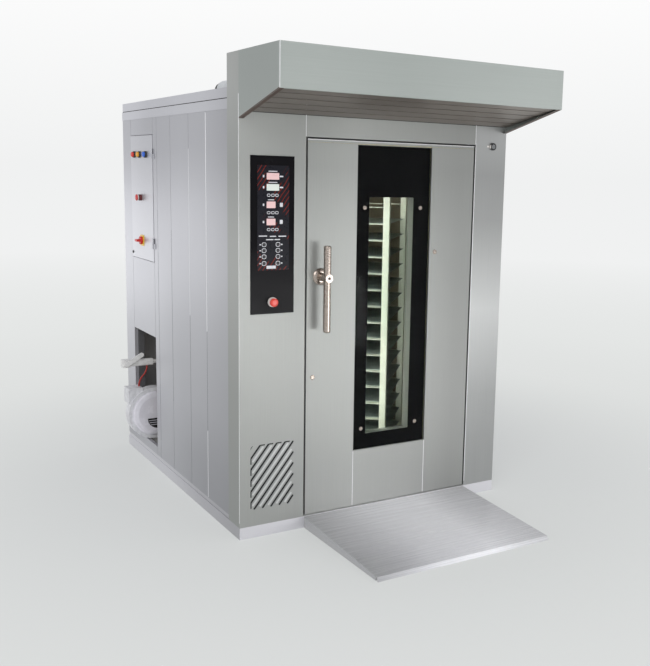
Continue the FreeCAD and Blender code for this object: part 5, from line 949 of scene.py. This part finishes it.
tree.links.new(dome.outputs["Background"], chosen.inputs[1])
tree.links.new(backdrop.outputs["Background"], chosen.inputs[2])
tree.links.new(chosen.outputs["Shader"], sky.inputs["Surface"])
print("world ready")

# %% [markdown]
# ## Lamps
# Large, soft lamps suit brushed metal: each one shows as a broad pale patch in the sheet. The
# key stands high at the front left, with a weak fill at the right. A low lamp in front is
# mirrored in the pillar and the door at half height, and one behind at the left glances off
# the side. A small warm lamp is inside the oven, where the real one has its chamber light.

# %% Soft lamps
def soft_lamp(name, place, target, wide, high, power, tone=(1.0, 1.0, 1.0)):
    data = bpy.data.lights.new(name, "AREA")
    data.shape = "RECTANGLE"
    data.size, data.size_y = wide, high
    data.energy = power
    data.color = tone
    lamp = bpy.data.objects.new(name, data)
    bpy.context.scene.collection.objects.link(lamp)
    lamp.location = place
    lamp.rotation_euler = (Vector(target) - Vector(place)).to_track_quat("-Z", "Y").to_euler()
    return lamp


soft_lamp("key_lamp", (-4.5, -5.5, 4.6), (0, 0, 1.0), 4.0, 4.0, 145)
soft_lamp("low_lamp", (1.5, -5.2, 0.40), (-0.3, -0.7, 1.1), 1.7, 0.74, 37)
soft_lamp("fill_lamp", (5.0, -4.0, 3.0), (0, 0, 1.0), 4.0, 4.0, 12)
soft_lamp("rear_lamp", (-2.4, 4.8, 1.0), (-0.87, 0.4, 1.3), 1.4, 1.2, 6, (0.98, 0.98, 1.0))
soft_lamp("chamber_lamp", (-0.36, -0.56, 1.2), (0.5, 0.3, 1.2), 0.10, 1.7, 12,
          (1.0, 0.99, 0.92))
print("5 lamps")

# %% [markdown]
# ## Camera
# The camera stands where the photograph was taken from. Its right, up and back directions
# are the three columns of a rotation matrix, and a small shift of the lens moves the picture
# sideways without turning the camera, so that upright edges keep their lean.

# %% Camera
camera_data = bpy.data.cameras.new("camera")
camera_data.sensor_width = 36.0
picture_wide, picture_high = 650, 666
focal_pixels, aim_x, aim_y = 928.2, 410, 322
camera_data.lens = focal_pixels * 36.0 / picture_high
camera_data.shift_x = -(aim_x - picture_wide / 2) / picture_high
camera_data.shift_y = -(picture_high / 2 - aim_y) / picture_high
camera = bpy.data.objects.new("camera", camera_data)
bpy.context.scene.collection.objects.link(camera)
right = Vector((0.84095588, -0.54045826, 0.02642101))
down = Vector((-0.06346912, -0.14701377, -0.98709606))
ahead = Vector((0.53736847, 0.82842732, -0.15793451))
turn = Matrix((right, -down, -ahead)).transposed()
stand = (-2.59590, -4.88360, 1.85089)
camera.matrix_world = Matrix.Translation(stand) @ turn.to_4x4()
bpy.context.scene.camera = camera
bpy.context.scene.view_settings.view_transform = "Standard"
print("lens", round(camera_data.lens, 2), "mm")
